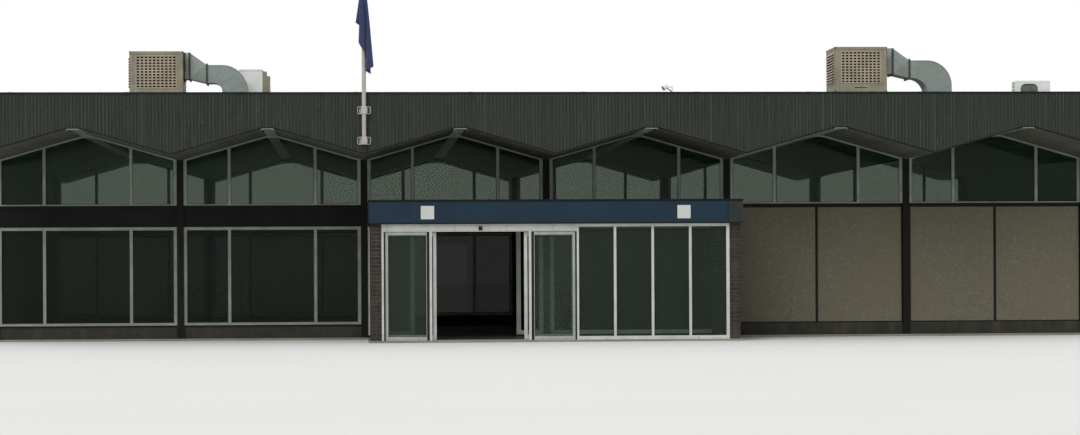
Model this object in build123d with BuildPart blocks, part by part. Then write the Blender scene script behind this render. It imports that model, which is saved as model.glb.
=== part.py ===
"""Single-storey railway station building: six folded-roof bays, a glazed wall and a projecting entrance.

Millimetres. The origin is at ground level under the centre of the hall. X runs along the
front, the front faces -Y and Z is up.
"""

import os

from build123d import *

# Bays and levels
bay = 4115
bay_count = 6
hall_depth = 12345
overhang = 3200
valley_height = 4050
ridge_rise = 550
ridge_strip_width = 280
ridge_rim = 22
ridge_trough = 42
fascia_above_ridge = 730
floor_thickness = 50
plinth_height = 330
window_head = 2560
clerestory_sill = 2990
seat_gap = 0.3

# Steel, roof and fascia
column_width = 150
column_depth = 150
soffit_thickness = 60
fascia_thickness = 60
capping_width = 120
capping_height = 40
capping_drop = 30
deck_thickness = 90
deck_below_top = 330
party_wall = 230
party_wall_lap = 60

# Window frames
frame_depth = 70
frame_jamb = 72
frame_sill = 75
frame_head = 48
frame_mullion = 66
mullion_share = 0.234
glass_thickness = 10

# Spandrels, plinths and aggregate panels
spandrel_thickness = 60
spandrel_setback = 15
plinth_thickness = 120
plinth_setback = 25
panel_thickness = 70
panel_joint = 60
backing_thickness = 100
window_bays = (0, 1)
entrance_bays = (2, 3)
panel_bays = (4, 5)

# Entrance: piers, sign and roof
pier_width = 230
pier_setback = 55
sign_height = 480
sign_depth = 130
sign_end_width = 330
sign_return = 60
sign_cap = 35
entrance_roof_thickness = 90
entrance_head_drop = 15
sign_seat = 10
entrance_frame_depth = 110

# Sliding door unit
unit_width = 4245
unit_jamb = 68
unit_header = 160
unit_mullion = 54
doorway_allowance = 40
sidelight_stile = 70
sidelight_rail = 80
sidelight_top_rail = 72
leaf_stile = 70
leaf_top_rail = 80
leaf_bottom_rail = 105
leaf_depth = 40
leaf_clearance = 12
leaf_nose = 95
leaf_glass = 8
hanger_length = 90
hanger_width = 24
hanger_rise = 46
hanger_inset = 160
runner_clearance = 6
meeting_gap = 6

# Fixed panes beside the door unit
pane_count = 4
pane_mullion = 56
pane_head = 62
pane_bottom = 75

# Inner screen between entrance and hall
inner_doorway_width = 2300
inner_screen_width = 610
inner_stile = 98
inner_bottom_rail = 90
inner_kerb = 50
inner_head_rail = 70
inner_depth = 80

# Flagpole
pole_radius = 45
pole_standoff = 150
pole_seat = 50
bracket_above_valley = 200
bracket_spacing = 650
bracket_height = 165
bracket_width = 290
bracket_plate = 12
bracket_wall = 14
bracket_round = 38
bracket_lug_depth = 58
flag_above_bracket = 745
flag_length = 2010
flag_reach = 175
flag_back_reach = 130
flag_thickness = 60
flag_top_gap = 160

# Roof plant: each cooler has its column line, distance left of it, stand height and collar length,
# and then the level run of its bend and the radius of the bend's throat
coolers = ((1, 543, 460, 135, 345, 190), (5, 957, 565, 200, 415, 350))
cooler_width = 1190
cooler_depth = 1150
cooler_height = 1060
cooler_setback = 300
stand_leg = 50
stand_inset = 40
louvre_width = 930
louvre_height = 745
louvre_drop = 88
louvre_depth = 45
lattice_columns = 10
lattice_rows = 11
lattice_pitch = (90.5, 65.5)
lattice_hole = (60, 36)
lattice_thickness = 20
lattice_border = 26
lattice_proud = 10
duct_height = 592
duct_depth = 560
duct_top_gap = 3
flange_width = 32
flange_length = 26
taper_length = 390
taper_top_drop = 280
elbow_height = 405
elbow_width = 570
elbow_radius = 575
rear_unit_size = (550, 520, 760)
rear_unit_from_column = 1532
rear_unit_stand = 449
rear_unit_setback = 1600
hood_width = 152
hood_drop = 49
hood_step = 106
hood_height = 620
condenser_size = (818, 310, 550)
condenser_from_end = 1082
condenser_stand = 304
condenser_round = 22
fan_offset = 75
fan_opening = 410
fan_corner = 125
fan_recess = 50
side_slots = 4
side_slot_pitch = 78
side_slot_height = 34
side_slot_depth = 22
side_slot_margin = 45
lamp_from_column = 1596
lamp_reach = 151
lamp_radius = 50
lamp_stem = 14
lamp_height = 116

# Worked out from the above
half_length = bay * bay_count / 2
front_y = -hall_depth / 2
back_y = hall_depth / 2
front_edge = front_y - overhang
back_edge = back_y + overhang
ridge_height = valley_height + ridge_rise
fascia_top = ridge_height + fascia_above_ridge
ridge_half = ridge_strip_width / 2
slope_run = bay / 2 - ridge_half
hall_half = half_length + column_width / 2
roof_half = hall_half + party_wall
fascia_half = roof_half + fascia_thickness
deck_top = fascia_top - deck_below_top
deck_base = deck_top - deck_thickness
column_lines = [bay * n - half_length for n in range(bay_count + 1)]
bay_centres = [bay * (n + 0.5) - half_length for n in range(bay_count)]
inner_front = front_edge + fascia_thickness
inner_back = back_edge - fascia_thickness
entrance_half = bay - column_width / 2
pier_half = entrance_half - pier_setback
entrance_inner = pier_half - pier_width
unit_left = -entrance_inner
unit_right = unit_left + unit_width
doorway_width = unit_width / 2 - doorway_allowance
unit_centre = (unit_left + unit_right) / 2
entrance_face = front_edge + sign_depth
glazing_y = entrance_face + entrance_frame_depth / 2
entrance_frame_head = window_head - entrance_head_drop
sign_base = entrance_frame_head + sign_seat


def soffit_at(x):
    """Height of the underside of the folded soffit; it runs on level past the end columns."""
    if abs(x) >= half_length:
        return valley_height
    offset = (x + half_length) % bay - bay / 2
    run = max(abs(offset) - ridge_half, 0)
    return ridge_height - ridge_rise * run / slope_run


def block(x_span, y_span, z_span, mode=Mode.ADD):
    """A plain rectangular solid between the given limits, in the active part."""
    size = [span[1] - span[0] for span in (x_span, y_span, z_span)]
    middle = [(span[0] + span[1]) / 2 for span in (x_span, y_span, z_span)]
    with Locations(tuple(middle)):
        Box(*size, mode=mode)


def finish(part, label):
    """Names a piece and writes it."""
    part.label = label
    export_step(part, f"parts/{label}.step")


def across(y):
    """The upright plane facing the front at depth y; its X runs along the building and its Y is up."""
    return Plane(origin=(0, y, 0), x_dir=(1, 0, 0), z_dir=(0, -1, 0))


def prism(corners, y_back, depth, mode=Mode.ADD):
    """A solid with the given upright outline, from y_back towards the front, in the active part."""
    with BuildSketch(across(y_back)) as outline:
        Polygon(*corners, align=None)
    extrude(outline.sketch, amount=depth, dir=(0, -1, 0), mode=mode)


os.makedirs("parts", exist_ok=True)


# Floor
slab_front = front_y - column_depth / 2
slab_back = back_y + column_depth / 2
with BuildPart() as floor_slab:
    block((-hall_half, hall_half), (slab_front, slab_back), (0, floor_thickness))
    block((-entrance_half, entrance_half), (entrance_face, slab_front), (0, floor_thickness))
finish(floor_slab.part, "floor_slab")


# Steel columns along both glazed walls; each head is notched to the fold of the soffit
def add_columns(y_middle):
    half = column_width / 2
    for x in column_lines:
        corners = [
            (x - half, floor_thickness),
            (x + half, floor_thickness),
            (x + half, soffit_at(x + half) - seat_gap),
            (x, valley_height - seat_gap),
            (x - half, soffit_at(x - half) - seat_gap),
        ]
        prism(corners, y_middle + column_depth / 2, column_depth)


with BuildPart() as front_columns:
    add_columns(front_y)
finish(front_columns.part, "front_columns")

with BuildPart() as back_columns:
    add_columns(back_y)
finish(back_columns.part, "back_columns")

# Plain brick party walls beyond the end columns
wall_y = (slab_front - party_wall_lap, slab_back + party_wall_lap)
for side, name in ((-1, "left_party_wall"), (1, "right_party_wall")):
    with BuildPart() as end_wall:
        block(sorted((side * hall_half, side * roof_half)), wall_y, (0, valley_height - seat_gap))
    finish(end_wall.part, name)


# Folded soffit: one sloping plate each side of every ridge, running from front to back
def add_slopes(side):
    for centre in bay_centres:
        lower = [(centre + side * ridge_half, ridge_height), (centre + side * bay / 2, valley_height)]
        if side * centre == max(bay_centres):
            lower.append((side * roof_half, valley_height))
        upper = [(x, z + soffit_thickness) for x, z in reversed(lower)]
        prism(lower + upper, inner_back, inner_back - inner_front)


with BuildPart() as soffit_left_slopes:
    add_slopes(-1)
finish(soffit_left_slopes.part, "soffit_left_slopes")

with BuildPart() as soffit_right_slopes:
    add_slopes(1)
finish(soffit_right_slopes.part, "soffit_right_slopes")

# Level strip along each ridge: a shallow trough, open below, that holds the slats
with BuildPart() as ridge_strips:
    trough_half = ridge_half - ridge_rim
    for centre in bay_centres:
        block(
            (centre - ridge_half, centre + ridge_half),
            (inner_front, inner_back),
            (ridge_height, ridge_height + soffit_thickness),
        )
        block(
            (centre - trough_half, centre + trough_half),
            (inner_front, inner_back),
            (ridge_height, ridge_height + ridge_trough),
            mode=Mode.SUBTRACT,
        )
finish(ridge_strips.part, "ridge_strips")


# Deep fascia with a zigzag lower edge at front and back, plain at the ends
def add_zigzag_fascia(y_back_face):
    lower_edge = [(-fascia_half, valley_height), (-half_length, valley_height)]
    for centre in bay_centres:
        lower_edge.append((centre - ridge_half, ridge_height))
        lower_edge.append((centre + ridge_half, ridge_height))
        lower_edge.append((centre + bay / 2, valley_height))
    lower_edge.append((fascia_half, valley_height))
    upper_edge = [(fascia_half, fascia_top), (-fascia_half, fascia_top)]
    prism(lower_edge + upper_edge, y_back_face, fascia_thickness)


with BuildPart() as front_fascia:
    add_zigzag_fascia(inner_front)
finish(front_fascia.part, "front_fascia")

with BuildPart() as back_fascia:
    add_zigzag_fascia(back_edge)
finish(back_fascia.part, "back_fascia")

with BuildPart() as left_fascia:
    block((-fascia_half, -roof_half), (inner_front, inner_back), (valley_height, fascia_top))
finish(left_fascia.part, "left_fascia")

with BuildPart() as right_fascia:
    block((roof_half, fascia_half), (inner_front, inner_back), (valley_height, fascia_top))
finish(right_fascia.part, "right_fascia")

# Metal capping that turns down over the fascia's outer face
capping_lip = 6
with BuildPart() as fascia_capping:
    with BuildSketch(Plane.XY.offset(fascia_top)):
        Rectangle(2 * (fascia_half + capping_lip), back_edge - front_edge + 2 * capping_lip)
        Rectangle(
            2 * (fascia_half - capping_width),
            back_edge - front_edge - 2 * capping_width,
            mode=Mode.SUBTRACT,
        )
    extrude(amount=capping_height)
    with BuildSketch(Plane.XY.offset(fascia_top - capping_drop)):
        Rectangle(2 * (fascia_half + capping_lip), back_edge - front_edge + 2 * capping_lip)
        Rectangle(2 * fascia_half, back_edge - front_edge, mode=Mode.SUBTRACT)
    extrude(amount=capping_drop)
finish(fascia_capping.part, "fascia_capping")

with BuildPart() as roof_deck:
    block(
        (-roof_half, roof_half),
        (inner_front, inner_back),
        (deck_base, deck_top),
    )
finish(roof_deck.part, "roof_deck")


# Clerestory: one three-light frame in each bay, its head following the soffit
def clear_span(index):
    """Left and right limits between the columns of one bay."""
    return column_lines[index] + column_width / 2, column_lines[index + 1] - column_width / 2


def light_spans(index):
    """The three glass widths of one bay, between jambs and mullions."""
    left, right = clear_span(index)
    centre = bay_centres[index]
    posts = [centre - mullion_share * bay, centre + mullion_share * bay]
    half = frame_mullion / 2
    return [
        (left + frame_jamb, posts[0] - half),
        (posts[0] + half, posts[1] - half),
        (posts[1] + half, right - frame_jamb),
    ]


def soffit_points(index, left, right, drop):
    """Corners of the head between two places in a bay, from right to left."""
    centre = bay_centres[index]
    points = [(right, soffit_at(right) - drop)]
    for turn in (centre + ridge_half, centre - ridge_half):
        if left < turn < right:
            points.append((turn, ridge_height - drop))
    points.append((left, soffit_at(left) - drop))
    return points


def head_light(index, left, right, base, drop):
    """Outline of a light that stands on a level sill and follows the soffit at its head."""
    return [(left, base), (right, base)] + soffit_points(index, left, right, drop)


def clerestory_lights(index):
    """Outlines of the three glass lights of one bay."""
    base = clerestory_sill + frame_sill
    return [head_light(index, left, right, base, frame_head) for left, right in light_spans(index)]


def add_clerestory_frames(y_middle):
    y_inside = y_middle + frame_depth / 2
    for index in range(bay_count):
        left, right = clear_span(index)
        prism(head_light(index, left, right, clerestory_sill, seat_gap), y_inside, frame_depth)
        for light in clerestory_lights(index):
            prism(light, y_inside, frame_depth, mode=Mode.SUBTRACT)


def add_clerestory_glass(y_middle):
    for index in range(bay_count):
        for light in clerestory_lights(index):
            prism(light, y_middle + glass_thickness / 2, glass_thickness)


with BuildPart() as front_clerestory_frames:
    add_clerestory_frames(front_y)
finish(front_clerestory_frames.part, "front_clerestory_frames")

with BuildPart() as back_clerestory_frames:
    add_clerestory_frames(back_y)
finish(back_clerestory_frames.part, "back_clerestory_frames")

with BuildPart() as front_clerestory_glass:
    add_clerestory_glass(front_y)
finish(front_clerestory_glass.part, "front_clerestory_glass")

with BuildPart() as back_clerestory_glass:
    add_clerestory_glass(back_y)
finish(back_clerestory_glass.part, "back_clerestory_glass")


# Lower windows, with their mullions in line with the clerestory's
def add_window_frames(y_middle, bays):
    depth = (y_middle - frame_depth / 2, y_middle + frame_depth / 2)
    for index in bays:
        block(clear_span(index), depth, (plinth_height, window_head))
        for light in light_spans(index):
            opening = (plinth_height + frame_sill, window_head - frame_sill)
            block(light, depth, opening, mode=Mode.SUBTRACT)


def add_window_glass(y_middle, bays):
    depth = (y_middle - glass_thickness / 2, y_middle + glass_thickness / 2)
    for index in bays:
        for light in light_spans(index):
            block(light, depth, (plinth_height + frame_sill, window_head - frame_sill))


back_window_bays = window_bays + entrance_bays

with BuildPart() as front_window_frames:
    add_window_frames(front_y, window_bays)
finish(front_window_frames.part, "front_window_frames")

with BuildPart() as back_window_frames:
    add_window_frames(back_y, back_window_bays)
finish(back_window_frames.part, "back_window_frames")

with BuildPart() as front_window_glass:
    add_window_glass(front_y, window_bays)
finish(front_window_glass.part, "front_window_glass")

with BuildPart() as back_window_glass:
    add_window_glass(back_y, back_window_bays)
finish(back_window_glass.part, "back_window_glass")


# Spandrels between the window head and the clerestory sill; dark plinths below the windows
def wall_slab(y_wall, outward, bays, thickness, setback, z_span):
    """Level bands of wall, set back from the frames' outer face; outward is -1 at the front."""
    outer = y_wall + outward * (frame_depth / 2 - setback)
    inner = outer - outward * thickness
    for index in bays:
        block(clear_span(index), (min(outer, inner), max(outer, inner)), z_span)


spandrel_levels = (window_head, clerestory_sill)
with BuildPart() as front_spandrels:
    spandrel_bays = window_bays + entrance_bays
    wall_slab(front_y, -1, spandrel_bays, spandrel_thickness, spandrel_setback, spandrel_levels)
finish(front_spandrels.part, "front_spandrels")

with BuildPart() as back_spandrels:
    wall_slab(back_y, 1, back_window_bays, spandrel_thickness, spandrel_setback, spandrel_levels)
finish(back_spandrels.part, "back_spandrels")

plinth_levels = (floor_thickness, plinth_height)
inner_y = (front_y - inner_depth / 2, front_y + inner_depth / 2)
inner_door_right = -column_width / 2 - inner_screen_width
inner_spans = [
    (-entrance_half, inner_door_right - inner_doorway_width),
    (inner_door_right, -column_width / 2),
    (column_width / 2, entrance_half),
]
screen_base = floor_thickness + inner_kerb
with BuildPart() as front_plinths:
    wall_slab(front_y, -1, window_bays + panel_bays, plinth_thickness, plinth_setback, plinth_levels)
    for span in inner_spans:
        block(span, inner_y, (floor_thickness, screen_base))
finish(front_plinths.part, "front_plinths")

with BuildPart() as back_plinths:
    wall_slab(back_y, 1, back_window_bays + panel_bays, plinth_thickness, plinth_setback, plinth_levels)
finish(back_plinths.part, "back_plinths")


# Exposed-aggregate panels, two to a bay, hung in front of a dark lined wall
def add_panels(y_wall, outward):
    outer = y_wall + outward * (frame_depth / 2 - plinth_setback)
    inner = outer - outward * panel_thickness
    depth = (min(outer, inner), max(outer, inner))
    for index in panel_bays:
        left, right = clear_span(index)
        centre = bay_centres[index]
        half_joint = panel_joint / 2
        block((left + half_joint, centre - half_joint), depth, (plinth_height, clerestory_sill))
        block((centre + half_joint, right - half_joint), depth, (plinth_height, clerestory_sill))


def add_backing(y_wall, outward):
    outer = y_wall + outward * (frame_depth / 2 - plinth_setback - panel_thickness)
    inner = outer - outward * backing_thickness
    for index in panel_bays:
        block(clear_span(index), (min(outer, inner), max(outer, inner)), (plinth_height, clerestory_sill))


with BuildPart() as front_aggregate_panels:
    add_panels(front_y, -1)
finish(front_aggregate_panels.part, "front_aggregate_panels")

with BuildPart() as back_aggregate_panels:
    add_panels(back_y, 1)
finish(back_aggregate_panels.part, "back_aggregate_panels")

with BuildPart() as panel_backing_walls:
    add_backing(front_y, -1)
    add_backing(back_y, 1)
finish(panel_backing_walls.part, "panel_backing_walls")


# Brick side walls of the entrance, from the front piers back to the columns
entrance_back = front_y - inner_depth / 2
for side, name in ((-1, "entrance_left_wall"), (1, "entrance_right_wall")):
    wall_faces = sorted((side * pier_half, side * entrance_inner))
    with BuildPart() as entrance_side_wall:
        block(wall_faces, (entrance_face, entrance_back), (floor_thickness, sign_base))
    finish(entrance_side_wall.part, name)

# Sign fascia across the entrance, with a plain return along each side
sign_top = sign_base + sign_height
sign_split = entrance_half - sign_end_width
return_inner = entrance_half - sign_return
sign_levels = (sign_base, sign_top)
with BuildPart() as sign_band:
    block((-entrance_half, sign_split), (front_edge, entrance_face), sign_levels)
finish(sign_band.part, "sign_band")

with BuildPart() as sign_end:
    block((sign_split, entrance_half), (front_edge, entrance_face), sign_levels)
    for side in (-1, 1):
        faces = sorted((side * entrance_half, side * return_inner))
        block(faces, (entrance_face, entrance_back), sign_levels)
finish(sign_end.part, "sign_end")

with BuildPart() as sign_capping:
    outer_y = (front_edge, entrance_back)
    block((-entrance_half, entrance_half), outer_y, (sign_top, sign_top + sign_cap))
    block(
        (-return_inner, return_inner),
        (entrance_face, entrance_back),
        (sign_top, sign_top + sign_cap),
        mode=Mode.SUBTRACT,
    )
finish(sign_capping.part, "sign_capping")

# Flat roof of the entrance, notched round the middle column and closed up to the spandrels
entrance_roof_top = sign_base + entrance_roof_thickness
spandrel_face = front_y - frame_depth / 2 + spandrel_setback
with BuildPart() as entrance_roof:
    block((-return_inner, return_inner), (entrance_face, entrance_back), (sign_base, entrance_roof_top))
    block(
        (-column_width / 2, column_width / 2),
        (slab_front, entrance_back),
        (sign_base, entrance_roof_top),
        mode=Mode.SUBTRACT,
    )
    for index in entrance_bays:
        block(clear_span(index), (entrance_back, spandrel_face), (window_head, entrance_roof_top))
finish(entrance_roof.part, "entrance_roof")


# Aluminium entrance: posts and rails are separate lengths that butt against each other
mullion_left = unit_centre - doorway_width / 2 - unit_mullion
mullion_right = unit_centre + doorway_width / 2
header_base = entrance_frame_head - unit_header
frame_y = (entrance_face, entrance_face + entrance_frame_depth)
pane_left = unit_right
pane_right = entrance_inner
pane_pitch = (pane_right - pane_left) / pane_count
pane_posts = [pane_left - unit_jamb / 2 + pane_pitch * n for n in range(1, pane_count)]

with BuildPart() as entrance_posts:
    block((unit_left, unit_left + unit_jamb), frame_y, (floor_thickness, entrance_frame_head))
    block((mullion_left, mullion_left + unit_mullion), frame_y, (floor_thickness, header_base))
    block((mullion_right, mullion_right + unit_mullion), frame_y, (floor_thickness, header_base))
    block((unit_right - unit_jamb, unit_right), frame_y, (floor_thickness, entrance_frame_head))
    for x in pane_posts:
        block(
            (x - pane_mullion / 2, x + pane_mullion / 2),
            frame_y,
            (floor_thickness + pane_bottom, entrance_frame_head - pane_head),
        )
    block((pane_right - unit_jamb, pane_right), frame_y, (floor_thickness, entrance_frame_head))
finish(entrance_posts.part, "entrance_posts")

with BuildPart() as entrance_rails:
    block((pane_left, pane_right - unit_jamb), frame_y, (floor_thickness, floor_thickness + pane_bottom))
    block(
        (pane_left, pane_right - unit_jamb),
        frame_y,
        (entrance_frame_head - pane_head, entrance_frame_head),
    )
finish(entrance_rails.part, "entrance_rails")

# Header box over the door unit, with the leaves' running channel on its inner side
track_depth = leaf_depth + 2 * leaf_clearance
leaf_front = entrance_face + entrance_frame_depth + leaf_clearance
leaf_y = (leaf_front, leaf_front + leaf_depth)
leaf_middle = leaf_front + leaf_depth / 2
channel_half = hanger_width / 2 + runner_clearance
with BuildPart() as door_header:
    block(
        (unit_left + unit_jamb, unit_right - unit_jamb),
        (entrance_face, entrance_face + entrance_frame_depth + track_depth),
        (header_base, entrance_frame_head),
    )
    block(
        (unit_left + unit_jamb, unit_right - unit_jamb),
        (leaf_middle - channel_half, leaf_middle + channel_half),
        (header_base, header_base + hanger_rise),
        mode=Mode.SUBTRACT,
    )
finish(door_header.part, "door_header")

# Sidelights: framed glass between the unit's jambs and mullions
sidelight_spans = (
    (unit_left + unit_jamb, mullion_left),
    (mullion_right + unit_mullion, unit_right - unit_jamb),
)
sidelight_y = (glazing_y - frame_depth / 2, glazing_y + frame_depth / 2)
sidelight_z = (floor_thickness, header_base)
sidelight_lights = [
    (
        (left + sidelight_stile, right - sidelight_stile),
        (floor_thickness + sidelight_rail, header_base - sidelight_top_rail),
    )
    for left, right in sidelight_spans
]
with BuildPart() as sidelight_frames:
    for x_span, (light_x, light_z) in zip(sidelight_spans, sidelight_lights):
        block(x_span, sidelight_y, sidelight_z)
        block(light_x, sidelight_y, light_z, mode=Mode.SUBTRACT)
finish(sidelight_frames.part, "sidelight_frames")

glass_y = (glazing_y - glass_thickness / 2, glazing_y + glass_thickness / 2)
with BuildPart() as entrance_glass:
    for light_x, light_z in sidelight_lights:
        block(light_x, glass_y, light_z)
    edges = [pane_left] + pane_posts + [pane_right]
    for n in range(pane_count):
        left = edges[n] + (0 if n == 0 else pane_mullion / 2)
        right = edges[n + 1] - (unit_jamb if n == pane_count - 1 else pane_mullion / 2)
        block((left, right), glass_y, (floor_thickness + pane_bottom, entrance_frame_head - pane_head))
finish(entrance_glass.part, "entrance_glass")

# Sliding leaves, drawn open: each hangs behind its sidelight with its nose past the mullion
leaf_width = doorway_width / 2 + unit_mullion - meeting_gap / 2
leaf_z = (floor_thickness + leaf_clearance, header_base - leaf_clearance)
leaf_glass_y = (leaf_middle - leaf_glass / 2, leaf_middle + leaf_glass / 2)
leaf_glass_z = (leaf_z[0] + leaf_bottom_rail, leaf_z[1] - leaf_top_rail)
leaf_noses = (mullion_left + unit_mullion + leaf_nose, mullion_right - leaf_nose)
for side, nose, name in ((1, leaf_noses[0], "left"), (-1, leaf_noses[1], "right")):
    leaf_x = sorted((nose, nose - side * leaf_width))
    light_x = (leaf_x[0] + leaf_stile, leaf_x[1] - leaf_stile)
    with BuildPart() as leaf_frame:
        block(leaf_x, leaf_y, leaf_z)
        block(light_x, leaf_y, leaf_glass_z, mode=Mode.SUBTRACT)
        for x in (leaf_x[0] + hanger_inset, leaf_x[1] - hanger_inset):
            block(
                (x - hanger_length / 2, x + hanger_length / 2),
                (leaf_middle - hanger_width / 2, leaf_middle + hanger_width / 2),
                (leaf_z[1], header_base + hanger_rise - seat_gap),
            )
    finish(leaf_frame.part, f"{name}_leaf_frame")
    with BuildPart() as leaf_pane:
        block(light_x, leaf_glass_y, leaf_glass_z)
    finish(leaf_pane.part, f"{name}_leaf_glass")

# Inner screen in the line of the hall's front wall, on a kerb, with an open way through
inner_glass_y = (front_y - glass_thickness / 2, front_y + glass_thickness / 2)
inner_light_z = (screen_base + inner_bottom_rail, window_head - inner_head_rail)
with BuildPart() as inner_screen_frames:
    for left, right in inner_spans:
        block((left, right), inner_y, (screen_base, window_head))
        block((left + inner_stile, right - inner_stile), inner_y, inner_light_z, mode=Mode.SUBTRACT)
finish(inner_screen_frames.part, "inner_screen_frames")

with BuildPart() as inner_screen_glass:
    for left, right in inner_spans:
        block((left + inner_stile, right - inner_stile), inner_glass_y, inner_light_z)
finish(inner_screen_glass.part, "inner_screen_glass")


# Flagpole on the fascia, over the column left of the entrance
pole_x = column_lines[entrance_bays[0]]
pole_y = front_edge - pole_standoff
collar_half = pole_radius + bracket_wall
bracket_low = valley_height + bracket_above_valley
bracket_high = bracket_low + bracket_spacing
flag_base = bracket_high + bracket_height + flag_above_bracket
flag_top = flag_base + flag_length
pole_foot = bracket_low + pole_seat
pole_length = flag_top + flag_top_gap - pole_foot
with BuildPart() as flagpole:
    with BuildSketch(Plane.XY.offset(pole_foot)):
        with Locations((pole_x, pole_y)):
            Circle(pole_radius)
    extrude(amount=pole_length)
finish(flagpole.part, "flagpole")

# Each bracket is a rounded plate with a deep rim, so that hollow lugs stand beside the pole
with BuildPart() as flagpole_brackets:
    for base in (bracket_low, bracket_high):
        for inward, depth, mode in (
            (0, bracket_lug_depth, Mode.ADD),
            (bracket_wall, bracket_lug_depth - bracket_plate, Mode.SUBTRACT),
        ):
            with BuildSketch(across(front_edge - bracket_lug_depth)) as lug:
                with Locations((pole_x, base + bracket_height / 2)):
                    RectangleRounded(
                        bracket_width - 2 * inward, bracket_height - 2 * inward, bracket_round - inward
                    )
            extrude(lug.sketch, amount=depth, dir=(0, 1, 0), mode=mode)
        block(
            (pole_x - collar_half, pole_x + collar_half),
            (pole_y - collar_half, front_edge - bracket_plate),
            (base, base + bracket_height),
        )
    with BuildSketch(Plane.XY.offset(pole_foot)) as bore:
        with Locations((pole_x, pole_y)):
            Circle(pole_radius + seat_gap)
    extrude(bore.sketch, amount=pole_length, mode=Mode.SUBTRACT)
finish(flagpole_brackets.part, "flagpole_brackets")

# The limp flag as one upright bundle that wraps the front and one side of the pole
with BuildPart() as flag:
    block(
        (pole_x - flag_back_reach, pole_x + flag_reach),
        (pole_y - pole_radius - flag_thickness, pole_y + pole_radius),
        (flag_base, flag_top),
    )
    block(
        (pole_x - flag_back_reach, pole_x + pole_radius + seat_gap),
        (pole_y - pole_radius - seat_gap, pole_y + pole_radius),
        (flag_base, flag_top),
        mode=Mode.SUBTRACT,
    )
finish(flag.part, "flag")


# Evaporative coolers on steel stands: cabinet, louvred front and a duct down through the roof
cooler_front = front_y + cooler_setback
cooler_back = cooler_front + cooler_depth
duct_middle = (cooler_front + cooler_back) / 2
cooler_places = [
    (column_lines[line] - left_of_line, deck_top + stand + cooler_height, run)
    for line, left_of_line, stand, *run in coolers
]


def add_stand(x_span, y_span, top):
    """Four legs from the deck to the underside of a unit, set in from its corners."""
    for x in (x_span[0] + stand_inset, x_span[1] - stand_inset - stand_leg):
        for y in (y_span[0] + stand_inset, y_span[1] - stand_inset - stand_leg):
            block((x, x + stand_leg), (y, y + stand_leg), (deck_top, top))


def louvre_box(centre, top):
    """Width, depth and height limits of the recess in a cooler's front."""
    return (
        (centre - louvre_width / 2, centre + louvre_width / 2),
        (cooler_front, cooler_front + louvre_depth),
        (top - louvre_drop - louvre_height, top - louvre_drop),
    )


with BuildPart() as cooler_cabinets:
    for centre, top, run in cooler_places:
        x_span = (centre - cooler_width / 2, centre + cooler_width / 2)
        block(x_span, (cooler_front, cooler_back), (top - cooler_height, top))
        block(*louvre_box(centre, top), mode=Mode.SUBTRACT)
        add_stand(x_span, (cooler_front, cooler_back), top - cooler_height)
finish(cooler_cabinets.part, "cooler_cabinets")

# Each lattice stands in its recess on a raised border, with rows of oblong holes through it
with BuildPart() as cooler_louvres:
    for centre, top, run in cooler_places:
        x_span, y_span, z_span = louvre_box(centre, top)
        block(x_span, (cooler_front - lattice_proud, cooler_front + lattice_thickness), z_span)
        block(
            (x_span[0] + lattice_border, x_span[1] - lattice_border),
            (cooler_front - lattice_proud, cooler_front),
            (z_span[0] + lattice_border, z_span[1] - lattice_border),
            mode=Mode.SUBTRACT,
        )
        with BuildSketch(across(cooler_front)) as holes:
            with Locations((centre, sum(z_span) / 2)):
                with GridLocations(*lattice_pitch, lattice_columns, lattice_rows):
                    Rectangle(*lattice_hole)
        extrude(holes.sketch, amount=lattice_thickness, dir=(0, 1, 0), mode=Mode.SUBTRACT)
finish(cooler_louvres.part, "cooler_louvres")


def add_flange(x, z_span):
    """A square flange round the duct, centred at x."""
    block(
        (x - flange_length / 2, x + flange_length / 2),
        (duct_middle - duct_depth / 2 - flange_width, duct_middle + duct_depth / 2 + flange_width),
        (z_span[0] - flange_width, z_span[1]),
    )


def add_duct(start, top, collar, level_run, throat_radius):
    """Square collar, tapered length and a round bend down to the deck."""
    taper_start = start + collar
    taper_end = taper_start + taper_length
    elbow_top = top - taper_top_drop
    elbow_base = elbow_top - elbow_height
    bend_inside = taper_end + level_run
    bend_outside = bend_inside + elbow_width
    duct_front = duct_middle - duct_depth / 2
    duct_back = duct_middle + duct_depth / 2
    block((start, taper_start), (duct_front, duct_back), (top - duct_height, top))
    taper = [
        (taper_start, top - duct_height),
        (taper_end, elbow_base),
        (taper_end, elbow_top),
        (taper_start, top),
    ]
    prism(taper, duct_back, duct_depth)
    with BuildSketch(across(duct_back)) as bend:
        with BuildLine():
            back_start = (bend_outside - elbow_radius, elbow_top)
            back_end = (bend_outside, elbow_top - elbow_radius)
            throat_start = (bend_inside - throat_radius, elbow_base)
            throat_end = (bend_inside, elbow_base - throat_radius)
            RadiusArc(back_start, back_end, elbow_radius)
            Polyline(back_end, (bend_outside, deck_top), (bend_inside, deck_top), throat_end)
            RadiusArc(throat_start, throat_end, throat_radius)
            Polyline(throat_start, (taper_end, elbow_base), (taper_end, elbow_top), back_start)
        make_face()
    extrude(bend.sketch, amount=duct_depth, dir=(0, -1, 0))
    add_flange(start + flange_length / 2, (top - duct_height, top))
    add_flange(taper_start, (top - duct_height, top))
    add_flange(taper_end, (elbow_base, elbow_top + flange_width))


with BuildPart() as cooler_ducts:
    for centre, top, run in cooler_places:
        add_duct(centre + cooler_width / 2, top - duct_top_gap, *run)
finish(cooler_ducts.part, "cooler_ducts")

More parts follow.
